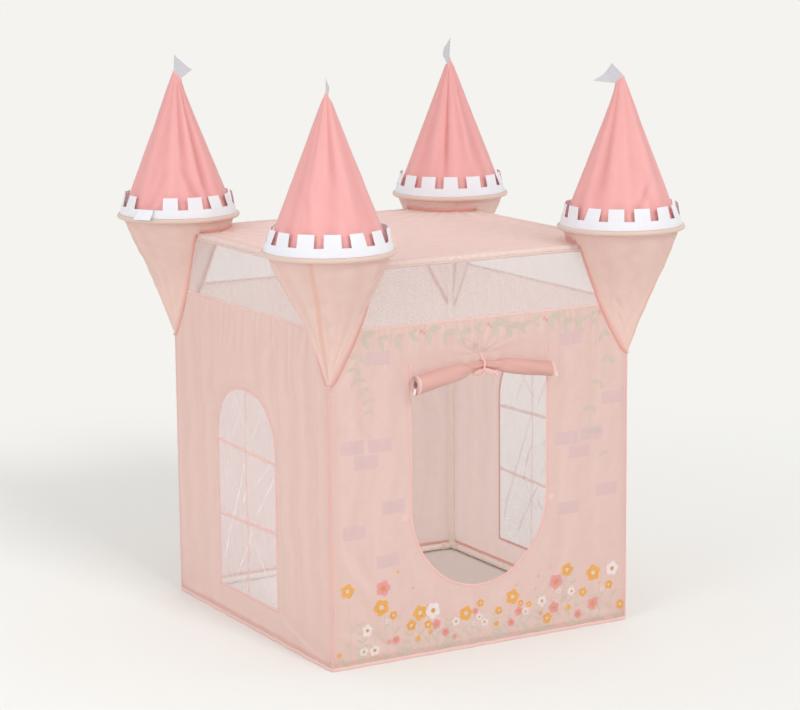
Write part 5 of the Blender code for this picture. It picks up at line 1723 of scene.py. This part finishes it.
def print_layout(layers):
    """Places the motifs: a meadow along the foot, a leafy swag under the hem, bricks between."""
    random = np.random.default_rng(508)
    green = layers["green"]
    taken = []
    for x, y, tilt in (
        (-0.430, 0.640, 0.02), (-0.342, 0.637, -0.02), (-0.386, 0.592, 0.0), (-0.300, 0.455, 0.01),
        (-0.425, 0.395, -0.02), (-0.318, 0.300, 0.02), (0.285, 0.585, 0.0), (0.372, 0.590, 0.02),
        (0.330, 0.541, -0.02), (0.425, 0.415, 0.01), (0.292, 0.375, 0.0), (0.445, 0.690, 0.0),
        (0.300, 0.880, 0.02), (-0.345, 0.885, -0.01),
    ):
        layers["brick"].fill(block_shape(x, y, 0.076, 0.038, tilt), 10)
    # Tall stems that branch into two open blossoms, between leafy sprigs
    for index, x in enumerate(np.linspace(-0.446, 0.446, 25)):
        x = x + random.uniform(-0.009, 0.009)
        room = free_height(x)
        beside_door = ease(np.array(abs(x - DOOR_MIDDLE)), 0.17, 0.36)
        height = min(room, random.uniform(0.100, 0.150) + 0.125 * beside_door * random.uniform(0.2, 1))
        lean = random.uniform(-0.22, 0.22) * (0.3 if abs(x) > 0.40 else 1)
        if index % 4 == 1:
            paint_sprig(green, curved_stem(x, 0.014, height * 0.85, lean), 0.027, random)
            continue
        stem = curved_stem(x, 0.014, height, lean)
        green.line(stem, 0.0019)
        for k, side in ((4, -1), (8, 1)):
            size = random.uniform(0.024, 0.034)
            green.fill(petal(*stem[k], math.pi / 2 - side * 0.75, size, size * 0.30))
        kind = ("yellow", "rose", "yellow", "white", "yellow")[int(random.integers(5))]
        size = random.uniform(0.0215, 0.0290)
        paint_blossom(layers, taken, stem[-1], size, kind, random)
        side = 1 if index % 2 else -1
        root = stem[9]
        tip = root + (side * random.uniform(0.020, 0.034), random.uniform(0.018, 0.034))
        if abs(tip[0]) < 0.455:
            green.line(np.linspace(root, tip, 8), 0.0017)
            kind = ("rose", "yellow", "white")[int(random.integers(3))]
            paint_blossom(layers, taken, tip, size * random.uniform(0.55, 0.75), kind, random)
    # Low blossoms and buds near the ground
    for index, x in enumerate(np.linspace(-0.452, 0.452, 23)):
        x = x + random.uniform(-0.014, 0.014)
        top = random.uniform(0.034, 0.085)
        stem = curved_stem(x, 0.012, top, random.uniform(-0.5, 0.5))
        green.line(stem, 0.0018)
        if index % 3:
            kind = ("rose", "yellow", "yellow", "white")[int(random.integers(4))]
            paint_blossom(layers, taken, stem[-1], random.uniform(0.0140, 0.0215), kind, random)
        else:
            bud = round_spot(*stem[-1], random.uniform(0.0060, 0.0085))
            layers["rose" if index % 2 else "yellow"].fill(bud)
        for side in (-1, 1):
            size = random.uniform(0.020, 0.030)
            green.fill(petal(x, 0.012, math.pi / 2 - side * random.uniform(0.5, 0.95), size, size * 0.32))
    for _ in range(14):
        x, y = random.uniform(-0.46, 0.46), random.uniform(0.10, 0.27)
        if y < free_height(x) - 0.01:
            layer = layers["rose" if random.uniform() < 0.5 else "yellow"]
            layer.fill(round_spot(x, y, random.uniform(0.0028, 0.0044)))
    # Leafy swags under the hem, and trails down the sides
    for start, end, deep in ((-0.405, -0.20, 0.022), (-0.20, 0.02, 0.030), (0.02, 0.21, 0.026), (0.21, 0.405, 0.030)):
        share = np.linspace(0, 1, 30)
        path = np.stack([start + (end - start) * share, 0.957 - deep * np.sin(np.pi * share)], 1)
        paint_sprig(green, path, 0.052, random, every=7, spread=0.8, hang=0.22)
        layers["rose_top"].fill(round_spot(end - 0.003, 0.947, 0.0050))
        layers["rose_top"].fill(round_spot(end + 0.006, 0.940, 0.0042))
    for start, reach, sway, low in ((0.395, 0.030, 7.0, 0.52), (-0.395, -0.022, 5.0, 0.735)):
        share = np.linspace(0, 1, 44)
        path = np.stack([start + reach * np.sin(share * sway), 0.905 - (0.905 - low) * share], 1)
        inside = path[np.abs(path[:, 0]) < HALF - seam_reach(np.maximum(path[:, 1], SKIRT_TIP)) - 0.03]
        paint_sprig(green, inside, 0.038, random, every=8, spread=0.9)


def make_print():
    """Inks laid on the front wall, each colour a thin layer that follows its folds."""
    layers = {
        "brick": InkLayer("print_bricks", pigment(242, 220, 220), 0.00022),
        "green": InkLayer("print_leaves", pigment(232, 225, 211), 0.00030),
        "white": InkLayer("print_white", pigment(255, 250, 250), 0.00040),
        "rose": InkLayer("print_rose", pigment(251, 190, 188), 0.00046),
        "yellow": InkLayer("print_yellow", pigment(255, 205, 116), 0.00052),
        "white_top": InkLayer("print_white_hearts", pigment(250, 240, 228), 0.00064),
        "rose_top": InkLayer("print_berries", pigment(246, 192, 187), 0.00060),
        "yellow_top": InkLayer("print_yellow_hearts", pigment(248, 194, 110), 0.00068),
    }
    print_layout(layers)
    made = []
    for layer in layers.values():
        flat = np.array(layer.points)
        faces = np.array(layer.faces)
        out = wall_sampled(flat)
        outer = wall_place("front", *flat.T, out + layer.lift)
        inner = wall_place("front", *flat.T, out + layer.lift - 0.0001)
        quads = flat[faces]
        turn = np.cross(quads[:, 2] - quads[:, 0], quads[:, 3] - quads[:, 1])
        faces[turn < 0] = faces[turn < 0][:, ::-1]
        mesh = shell_mesh(layer.name, outer, inner, faces, flat)
        ink = cloth_material(layer.name.replace("_", " "), layer.colour, through=0.5, sheen=0.1, passes=0.5)
        made.append(add_piece(layer.name, mesh, ink, "tent"))
    return made


def wall_sampled(flat):
    """Depth of the front wall's own facets at points, so that the inks lie on them."""
    columns = np.linspace(-HALF, HALF, WALL_COLUMNS)
    rows = wall_rows()
    across, height = np.meshgrid(columns, rows, indexing="ij")
    depth = wall_depth("front", across, height)
    i = np.clip(np.searchsorted(columns, flat[:, 0]) - 1, 0, len(columns) - 2)
    j = np.clip(np.searchsorted(rows, flat[:, 1]) - 1, 0, len(rows) - 2)
    u = np.clip((flat[:, 0] - columns[i]) / (columns[i + 1] - columns[i]), 0, 1)
    v = np.clip((flat[:, 1] - rows[j]) / (rows[j + 1] - rows[j]), 0, 1)
    low = depth[i, j] * (1 - u) + depth[i + 1, j] * u
    high = depth[i, j + 1] * (1 - u) + depth[i + 1, j + 1] * u
    return low * (1 - v) + high * v


# Frame

def dress_frame():
    """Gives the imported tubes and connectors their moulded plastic."""
    look = settings()
    tube = plastic_material("Tube plastic", look.frame_colour, 0.38)
    joint = plastic_material("Connector plastic", pigment(248, 240, 230), 0.46)
    tubes = ("base_bar", "roof_bar", "upright", "turret_pole")
    for name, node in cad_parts.items():
        if name.startswith(tubes) or "connector" in name:
            node.data.materials.clear()
            node.data.materials.append(tube if name.startswith(tubes) else joint)


# Materials

def shader_group(name, inputs, outputs):
    """A shader's node group, which is given a place and a colour and gives a colour."""
    common = [("Place", "Vector", None), ("Colour", "Color", (0.8, 0.8, 0.8, 1))]
    inputs = common + [(label, "Float", default) for label, default in inputs]
    return new_group(name, "ShaderNodeTree", inputs, [("Colour", "Color"), *((label, "Float") for label in outputs)])


def noise(tree, place, scale, detail, **more):
    """Soft noise from 0 to 1 at a place in metres."""
    inputs = {"Vector": place, "Scale": scale, "Detail": detail, **more}
    return add_node(tree, "ShaderNodeTexNoise", inputs).outputs[0]


def link_all(tree, node, **sources):
    """Links each source to the node's input of that name."""
    for label, source in sources.items():
        tree.links.new(source, node.inputs[label.replace("_", " ")])


def woven_cloth():
    """Plain weave with soft crinkles: its colour, with painted shade and highlight along the folds, its roughness and
    height from a place in metres.
    """
    group, given, out = shader_group(
        "Woven cloth", [("Thread", 0.0006), ("Crinkle", 1.0), ("Tone", 0.04), ("Fold", 0.0), ("Fold tone", 0.05)],
        ["Roughness", "Height"],
    )
    place = given.outputs["Place"]
    split = add_node(group, "ShaderNodeSeparateXYZ", {0: place})
    rate = math_node(group, "DIVIDE", FULL_TURN, given.outputs["Thread"])
    waves = [
        math_node(group, "SINE", math_node(group, "MULTIPLY", split.outputs[axis], rate)) for axis in range(3)
    ]
    across = math_node(group, "ADD", waves[0], waves[1])
    weave = math_node(group, "MULTIPLY_ADD", waves[2], across, across)
    fine = noise(group, place, 26.0, 3.0, Roughness=0.55, Distortion=0.6)
    wide = math_node(group, "SUBTRACT", noise(group, place, 6.0, 2.0, Roughness=0.5), 0.5)
    slub = math_node(group, "SUBTRACT", noise(group, place, 420.0, 1.0), 0.5)
    tone = math_node(group, "MULTIPLY_ADD", slub, 0.5, wide)
    shade = math_node(group, "MULTIPLY_ADD", tone, given.outputs["Tone"], 1.0)
    shade = math_node(group, "MULTIPLY_ADD", weave, 0.006, shade)
    tinted = scaled(group, given.outputs["Colour"], shade)
    # Painted shade: the valleys of the folds darker and pinker; painted highlight: their ridges lighter
    fold = math_node(group, "MULTIPLY", given.outputs["Fold"], given.outputs["Fold tone"])
    fold_light_and_shade = add_node(
        group, "ShaderNodeVectorMath", {0: scaled(group, (0.7, 1.15, 1.2), fold), 1: (1, 1, 1)}, operation="ADD",
    )
    tinted = add_node(group, "ShaderNodeVectorMath", {0: tinted, 1: fold_light_and_shade.outputs[0]}, operation="MULTIPLY").outputs[0]
    rough = math_node(group, "MULTIPLY_ADD", fine, 0.16, 0.46)
    crinkle = math_node(group, "MULTIPLY", fine, given.outputs["Crinkle"])
    crinkle = math_node(group, "MULTIPLY", crinkle, 0.0022)
    height = math_node(group, "MULTIPLY_ADD", weave, 0.000012, crinkle)
    link_all(group, out, Colour=tinted, Roughness=rough, Height=height)
    return group


def net_weave():
    """Fine net: its tone with a painted highlight on its creases, and the share of it that is thread."""
    group, given, out = shader_group("Fine net", [("Cover", 0.3), ("Streaks", 0.0), ("Crease", 0.0)], ["Alpha"])
    place = given.outputs["Place"]
    cells = add_node(group, "ShaderNodeTexVoronoi", {"Vector": place, "Scale": 620.0}, feature="DISTANCE_TO_EDGE")
    holes = add_node(group, "ShaderNodeMapRange", {
        "Value": cells.outputs["Distance"], "From Min": 0.0, "From Max": 0.22, "To Min": 1.35, "To Max": 0.65,
    })
    streak = noise(group, place, 9.0, 1.0)
    uneven = math_node(group, "MULTIPLY_ADD", streak, 0.24, 0.88)
    cover = math_node(group, "MULTIPLY", math_node(group, "MULTIPLY", holes.outputs[0], uneven), given.outputs["Cover"])
    # Creases of the net: more thread, and a painted highlight where they catch the light
    lit = math_node(group, "MULTIPLY", given.outputs["Crease"], given.outputs["Streaks"])
    alpha = math_node(group, "ADD", cover, lit)
    shade = math_node(group, "MULTIPLY_ADD", streak, 0.05, 0.975)
    shade = math_node(group, "MULTIPLY_ADD", lit, 0.25, shade)
    link_all(group, out, Colour=scaled(group, given.outputs["Colour"], shade), Alpha=alpha)
    return group


def moulded_plastic():
    """Moulded plastic with faint flow marks and rubbed patches."""
    group, given, out = shader_group("Moulded plastic", [("Roughness", 0.4)], ["Roughness", "Height"])
    place = given.outputs["Place"]
    cloud = noise(group, place, 9.0, 4.0, Roughness=0.6)
    shade = math_node(group, "MULTIPLY_ADD", cloud, 0.09, 0.955)
    uneven = math_node(group, "SUBTRACT", cloud, 0.5)
    rough = math_node(group, "MULTIPLY_ADD", uneven, 0.3, given.outputs["Roughness"])
    grain = math_node(group, "MULTIPLY", noise(group, place, 900.0, 1.0), 0.00002)
    link_all(group, out, Colour=scaled(group, given.outputs["Colour"], shade), Roughness=rough, Height=grain)
    return group


def new_material(name):
    material = bpy.data.materials.new(name)
    material.use_nodes = True
    tree = material.node_tree
    tree.nodes.clear()
    shader = tree.nodes.new("ShaderNodeBsdfPrincipled")
    out = tree.nodes.new("ShaderNodeOutputMaterial")
    place = tree.nodes.new("ShaderNodeTexCoord").outputs["Object"]
    return material, tree, shader, out, place


def group_node(tree, build, **values):
    node = tree.nodes.new("ShaderNodeGroup")
    node.node_tree = tree_named(build)
    for label, value in values.items():
        socket = node.inputs[label.replace("_", " ")]
        if isinstance(value, bpy.types.NodeSocket):
            tree.links.new(value, socket)
        else:
            socket.default_value = value
    return node


def bump(tree, shader, height):
    node = add_node(tree, "ShaderNodeBump", {"Height": height, "Strength": 1.0, "Distance": 1.0})
    tree.links.new(node.outputs[0], shader.inputs["Normal"])
    return node.outputs[0]


def cloth_material(
    name, colour, through, sheen, coarse=1.0, crinkle=1.0, painted_fold_shade=0.05, gloss=0.35, passes=0.25,
):
    """Sewn polyester; through is the share of light it lets pass, and passes how much that is tinted. Its folds get
    painted shade in their valleys and a painted highlight on their ridges.
    """
    if name in bpy.data.materials:
        return bpy.data.materials[name]
    material, tree, shader, out, place = new_material(name)
    folds = tree.nodes.new("ShaderNodeAttribute")
    folds.attribute_name = "fold"
    weave = group_node(
        tree, woven_cloth, Place=place, Colour=(*colour, 1), Thread=0.0006 * coarse, Crinkle=crinkle, Tone=0.05,
        Fold=folds.outputs["Fac"], Fold_tone=painted_fold_shade,
    )
    link_all(tree, shader, Base_Color=weave.outputs["Colour"], Roughness=weave.outputs["Roughness"])
    shader.inputs["Specular IOR Level"].default_value = gloss
    shader.inputs["Sheen Weight"].default_value = sheen
    shader.inputs["Sheen Roughness"].default_value = 0.45
    normal = bump(tree, shader, weave.outputs["Height"])
    if through <= 0:
        tree.links.new(shader.outputs[0], out.inputs["Surface"])
        return material
    passed = [1 - (1 - share) * passes for share in colour]
    glow = add_node(tree, "ShaderNodeBsdfTranslucent", {"Color": (*passed, 1), "Normal": normal})
    mix = add_node(tree, "ShaderNodeMixShader", {0: through, 1: shader.outputs[0], 2: glow.outputs[0]})
    tree.links.new(mix.outputs[0], out.inputs["Surface"])
    return material


def net_material(name, colour, cover, streaks=0.0):
    material, tree, shader, out, place = new_material(name)
    creases = tree.nodes.new("ShaderNodeAttribute")
    creases.attribute_name = "crease"
    # streaks sets the creases' extra thread and the painted highlight on them
    net = group_node(
        tree, net_weave, Place=place, Colour=(*colour, 1), Cover=cover, Streaks=streaks, Crease=creases.outputs["Fac"],
    )
    link_all(tree, shader, Base_Color=net.outputs["Colour"], Alpha=net.outputs["Alpha"])
    shader.inputs["Roughness"].default_value = 0.7
    shader.inputs["Sheen Weight"].default_value = 0.2
    tree.links.new(shader.outputs[0], out.inputs["Surface"])
    return material


def plastic_material(name, colour, roughness):
    material, tree, shader, out, place = new_material(name)
    marks = group_node(tree, moulded_plastic, Place=place, Colour=(*colour, 1), Roughness=roughness)
    link_all(tree, shader, Base_Color=marks.outputs["Colour"], Roughness=marks.outputs["Roughness"])
    shader.inputs["Specular IOR Level"].default_value = 0.45
    bump(tree, shader, marks.outputs["Height"])
    tree.links.new(shader.outputs[0], out.inputs["Surface"])
    return material


# Stage

CAMERA_PLACE = (-3.7254, -6.5356, 2.1816)
CAMERA_YAW = math.radians(29.78)
CAMERA_PITCH = math.radians(10.55)
CAMERA_ROLL = math.radians(-0.54)
CAMERA_LENS = 113.9
# Share of the floor's colour in its material; its own lamp brings the rest
FLOOR_SHARE = 0.91


def add_lamp(name, kind, place, way, power, tint):
    lamp = bpy.data.lights.new(name, kind)
    lamp.energy, lamp.color = power, tint
    source = bpy.data.objects.new(name, lamp)
    bpy.context.scene.collection.objects.link(source)
    source.location = place
    source.rotation_euler = way.to_track_quat("-Z", "Y").to_euler()
    return lamp


def make_stage():
    look = settings()
    scene = bpy.context.scene
    scene.view_settings.view_transform = "Standard"
    yaw, pitch = CAMERA_YAW, CAMERA_PITCH
    forward = Vector((math.sin(yaw) * math.cos(pitch), math.cos(yaw) * math.cos(pitch), -math.sin(pitch)))
    right = Vector((math.cos(yaw), -math.sin(yaw), 0))
    up = right.cross(forward)
    c, s = math.cos(CAMERA_ROLL), math.sin(CAMERA_ROLL)
    turned_right, turned_up = right * c + up * s, up * c - right * s
    camera = bpy.data.objects.new("camera", bpy.data.cameras.new("camera"))
    scene.collection.objects.link(camera)
    camera.data.lens = CAMERA_LENS
    camera.data.sensor_width = 36
    axes = Matrix((turned_right, turned_up, -forward)).transposed().to_4x4()
    camera.matrix_world = Matrix.Translation(CAMERA_PLACE) @ axes
    scene.camera = camera
    make_world(look)
    make_floor(look)
    for name, place, aim, size, power, tint in (
        ("key_light", (1.5, -5.3, 5.0), (0, 0, 0.7), 1.6, 102, (1.0, 0.995, 0.985)),
        ("side_light", (-5.0, -2.5, 3.0), (0, 0, 0.8), 3.0, 60, (0.99, 0.99, 1.0)),
    ):
        lamp = add_lamp(name, "AREA", place, Vector(aim) - Vector(place), power, tint)
        lamp.shape, lamp.size = "DISK", size
    # A low lamp lights only the floor, which the key light leaves out, and draws the tent's shadow on it
    sun = add_lamp("floor_light", "SUN", (0, 0, 0), Vector((-0.06, 1, -0.53)), 1.4, (0.96, 0.985, 1.0))
    sun.angle = 0.28
    for name, state in (("floor_light", "INCLUDE"), ("key_light", "EXCLUDE")):
        ground = bpy.data.collections.new(f"floor_of_{name}")
        ground.objects.link(bpy.data.objects["studio_floor"])
        ground.collection_objects[0].light_linking.link_state = state
        bpy.data.objects[name].light_linking.receiver_collection = ground


def camera_sees(tree):
    """1 for the rays that show the studio behind the object: straight, mirrored or passed on."""
    path = tree.nodes.new("ShaderNodeLightPath")
    seen = math_node(tree, "MAXIMUM", path.outputs["Is Camera Ray"], path.outputs["Is Glossy Ray"])
    return math_node(tree, "MAXIMUM", seen, path.outputs["Is Transmission Ray"])


def make_world(look):
    world = bpy.data.worlds.new("Studio")
    bpy.context.scene.world = world
    world.use_nodes = True
    tree = world.node_tree
    tree.nodes.clear()
    out = tree.nodes.new("ShaderNodeOutputWorld")
    light = add_node(tree, "ShaderNodeBackground", {"Color": (0.988, 0.993, 1.0, 1), "Strength": 0.87})
    shown = add_node(tree, "ShaderNodeBackground", {"Color": (*look.floor_colour, 1), "Strength": 1.0})
    mix = add_node(tree, "ShaderNodeMixShader", {0: camera_sees(tree), 1: light.outputs[0], 2: shown.outputs[0]})
    tree.links.new(mix.outputs[0], out.inputs["Surface"])


def make_floor(look):
    mesh = bpy.data.meshes.new("studio_floor")
    reach = 14.0
    mesh.from_pydata([(x * reach, y * reach, 0) for x, y in SQUARE], [], [(0, 1, 2, 3)])
    floor = bpy.data.objects.new("studio_floor", mesh)
    bpy.context.scene.collection.objects.link(floor)
    material, tree, shader, out, place = new_material("Studio floor")
    dust = noise(tree, place, 3.0, 3.0)
    # Painted light: the ground inside the tent is paler, standing in for the floor lamp's light, which hardly reaches
    # it
    inside = add_node(tree, "ShaderNodeVectorMath", {0: place}, operation="ABSOLUTE")
    split = add_node(tree, "ShaderNodeSeparateXYZ", {0: inside.outputs[0]})
    apart = math_node(tree, "MAXIMUM", split.outputs[0], split.outputs[1])
    painted_inside_light = add_node(tree, "ShaderNodeMapRange", {
        "Value": apart, "From Min": 0.47, "From Max": 0.495, "To Min": 0.97, "To Max": FLOOR_SHARE,
    })
    dusty = math_node(tree, "MULTIPLY_ADD", dust, 0.012, 0.994)
    shade = math_node(tree, "MULTIPLY", dusty, painted_inside_light.outputs[0])
    tree.links.new(scaled(tree, look.floor_colour, shade), shader.inputs["Base Color"])
    shader.inputs["Roughness"].default_value = 0.9
    shader.inputs["Specular IOR Level"].default_value = 0.1
    glow = add_node(tree, "ShaderNodeEmission", {"Color": (*look.floor_colour, 1), "Strength": 1.0})
    apart = add_node(tree, "ShaderNodeVectorMath", {0: place}, operation="LENGTH")
    far = add_node(tree, "ShaderNodeMapRange", {
        "Value": apart.outputs["Value"], "From Min": 1.7, "From Max": 3.6, "To Min": 0.0, "To Max": 1.0,
    }, interpolation_type="SMOOTHSTEP")
    share = math_node(tree, "MULTIPLY", far.outputs[0], camera_sees(tree))
    mix = add_node(tree, "ShaderNodeMixShader", {0: share, 1: shader.outputs[0], 2: glow.outputs[0]})
    tree.links.new(mix.outputs[0], out.inputs["Surface"])
    mesh.materials.append(material)


# Operators, panel and registration

class PLAYTENT_OT_make_stage(bpy.types.Operator):
    """Add the camera, lights and floor"""
    bl_idname = "play_tent.make_stage"
    bl_label = "Studio"
    bl_options = {"REGISTER", "UNDO"}

    def execute(self, context):
        make_stage()
        return {"FINISHED"}


class PLAYTENT_OT_dress_frame(bpy.types.Operator):
    """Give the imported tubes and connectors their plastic"""
    bl_idname = "play_tent.dress_frame"
    bl_label = "Frame finish"
    bl_options = {"REGISTER", "UNDO"}

    def execute(self, context):
        dress_frame()
        return {"FINISHED"}


class PLAYTENT_OT_make_walls(bpy.types.Operator):
    """Add the gathered and folded cloth walls"""
    bl_idname = "play_tent.make_walls"
    bl_label = "Walls"
    bl_options = {"REGISTER", "UNDO"}

    def execute(self, context):
        make_walls()
        return {"FINISHED"}


class PLAYTENT_OT_make_nets(bpy.types.Operator):
    """Add the net strips and the window nets with their ribbons"""
    bl_idname = "play_tent.make_nets"
    bl_label = "Nets"
    bl_options = {"REGISTER", "UNDO"}

    def execute(self, context):
        make_nets()
        return {"FINISHED"}


class PLAYTENT_OT_make_roof(bpy.types.Operator):
    """Add the creased roof and its sleeves"""
    bl_idname = "play_tent.make_roof"
    bl_label = "Roof"
    bl_options = {"REGISTER", "UNDO"}

    def execute(self, context):
        make_roof()
        return {"FINISHED"}


class PLAYTENT_OT_make_skirts(bpy.types.Operator):
    """Add the lower cones of the turrets"""
    bl_idname = "play_tent.make_skirts"
    bl_label = "Lower cones"
    bl_options = {"REGISTER", "UNDO"}

    def execute(self, context):
        make_skirts()
        return {"FINISHED"}


class PLAYTENT_OT_make_cones(bpy.types.Operator):
    """Add the folded upper cones of the turrets"""
    bl_idname = "play_tent.make_cones"
    bl_label = "Upper cones"
    bl_options = {"REGISTER", "UNDO"}

    def execute(self, context):
        make_cones()
        return {"FINISHED"}


class PLAYTENT_OT_make_hoops(bpy.types.Operator):
    """Add the turret hoops and their joints"""
    bl_idname = "play_tent.make_hoops"
    bl_label = "Hoops"
    bl_options = {"REGISTER", "UNDO"}

    def execute(self, context):
        make_hoops()
        return {"FINISHED"}


class PLAYTENT_OT_make_battlements(bpy.types.Operator):
    """Add the white felt battlements"""
    bl_idname = "play_tent.make_battlements"
    bl_label = "Battlements"
    bl_options = {"REGISTER", "UNDO"}

    def execute(self, context):
        make_battlements()
        return {"FINISHED"}


class PLAYTENT_OT_make_flags(bpy.types.Operator):
    """Add the pennants at the points of the turrets"""
    bl_idname = "play_tent.make_flags"
    bl_label = "Flags"
    bl_options = {"REGISTER", "UNDO"}

    def execute(self, context):
        make_flags()
        return {"FINISHED"}


class PLAYTENT_OT_make_trims(bpy.types.Operator):
    """Add hems, bindings, stitches and print"""
    bl_idname = "play_tent.make_trims"
    bl_label = "Bindings and print"
    bl_options = {"REGISTER", "UNDO"}

    def execute(self, context):
        make_trims()
        return {"FINISHED"}


class PLAYTENT_OT_make_door_flap(bpy.types.Operator):
    """Add the rolled door flap and its tie"""
    bl_idname = "play_tent.make_door_flap"
    bl_label = "Door flap"
    bl_options = {"REGISTER", "UNDO"}

    def execute(self, context):
        make_door_flap()
        return {"FINISHED"}


class PLAYTENT_OT_make_patches(bpy.types.Operator):
    """Add the fastening patches beside the doorway"""
    bl_idname = "play_tent.make_patches"
    bl_label = "Patches"
    bl_options = {"REGISTER", "UNDO"}

    def execute(self, context):
        make_patches()
        return {"FINISHED"}


OPERATORS = (
    PLAYTENT_OT_make_stage,
    PLAYTENT_OT_dress_frame,
    PLAYTENT_OT_make_walls,
    PLAYTENT_OT_make_nets,
    PLAYTENT_OT_make_roof,
    PLAYTENT_OT_make_skirts,
    PLAYTENT_OT_make_cones,
    PLAYTENT_OT_make_hoops,
    PLAYTENT_OT_make_battlements,
    PLAYTENT_OT_make_flags,
    PLAYTENT_OT_make_trims,
    PLAYTENT_OT_make_door_flap,
    PLAYTENT_OT_make_patches,
)


class PLAYTENT_PT_build(bpy.types.Panel):
    """Lists the settings and the makers of the tent."""
    bl_idname = "PLAYTENT_PT_build"
    bl_label = "Play Tent"
    bl_space_type = "VIEW_3D"
    bl_region_type = "UI"
    bl_category = "Play Tent"

    def draw(self, context):
        for name in PlayTentSettings.__annotations__:
            self.layout.prop(context.scene.play_tent, name)
        for kind in OPERATORS:
            self.layout.operator(kind.bl_idname)


CLASSES = (PlayTentSettings, *OPERATORS, PLAYTENT_PT_build)


def register():
    for kind in CLASSES:
        bpy.utils.register_class(kind)
    bpy.types.Scene.play_tent = bpy.props.PointerProperty(type=PlayTentSettings)


def unregister():
    del bpy.types.Scene.play_tent
    for kind in reversed(CLASSES):
        bpy.utils.unregister_class(kind)


def main():
    register()
    for kind in OPERATORS:
        family, action = kind.bl_idname.split(".")
        getattr(getattr(bpy.ops, family), action)()


if __name__ == "__main__":
    main()
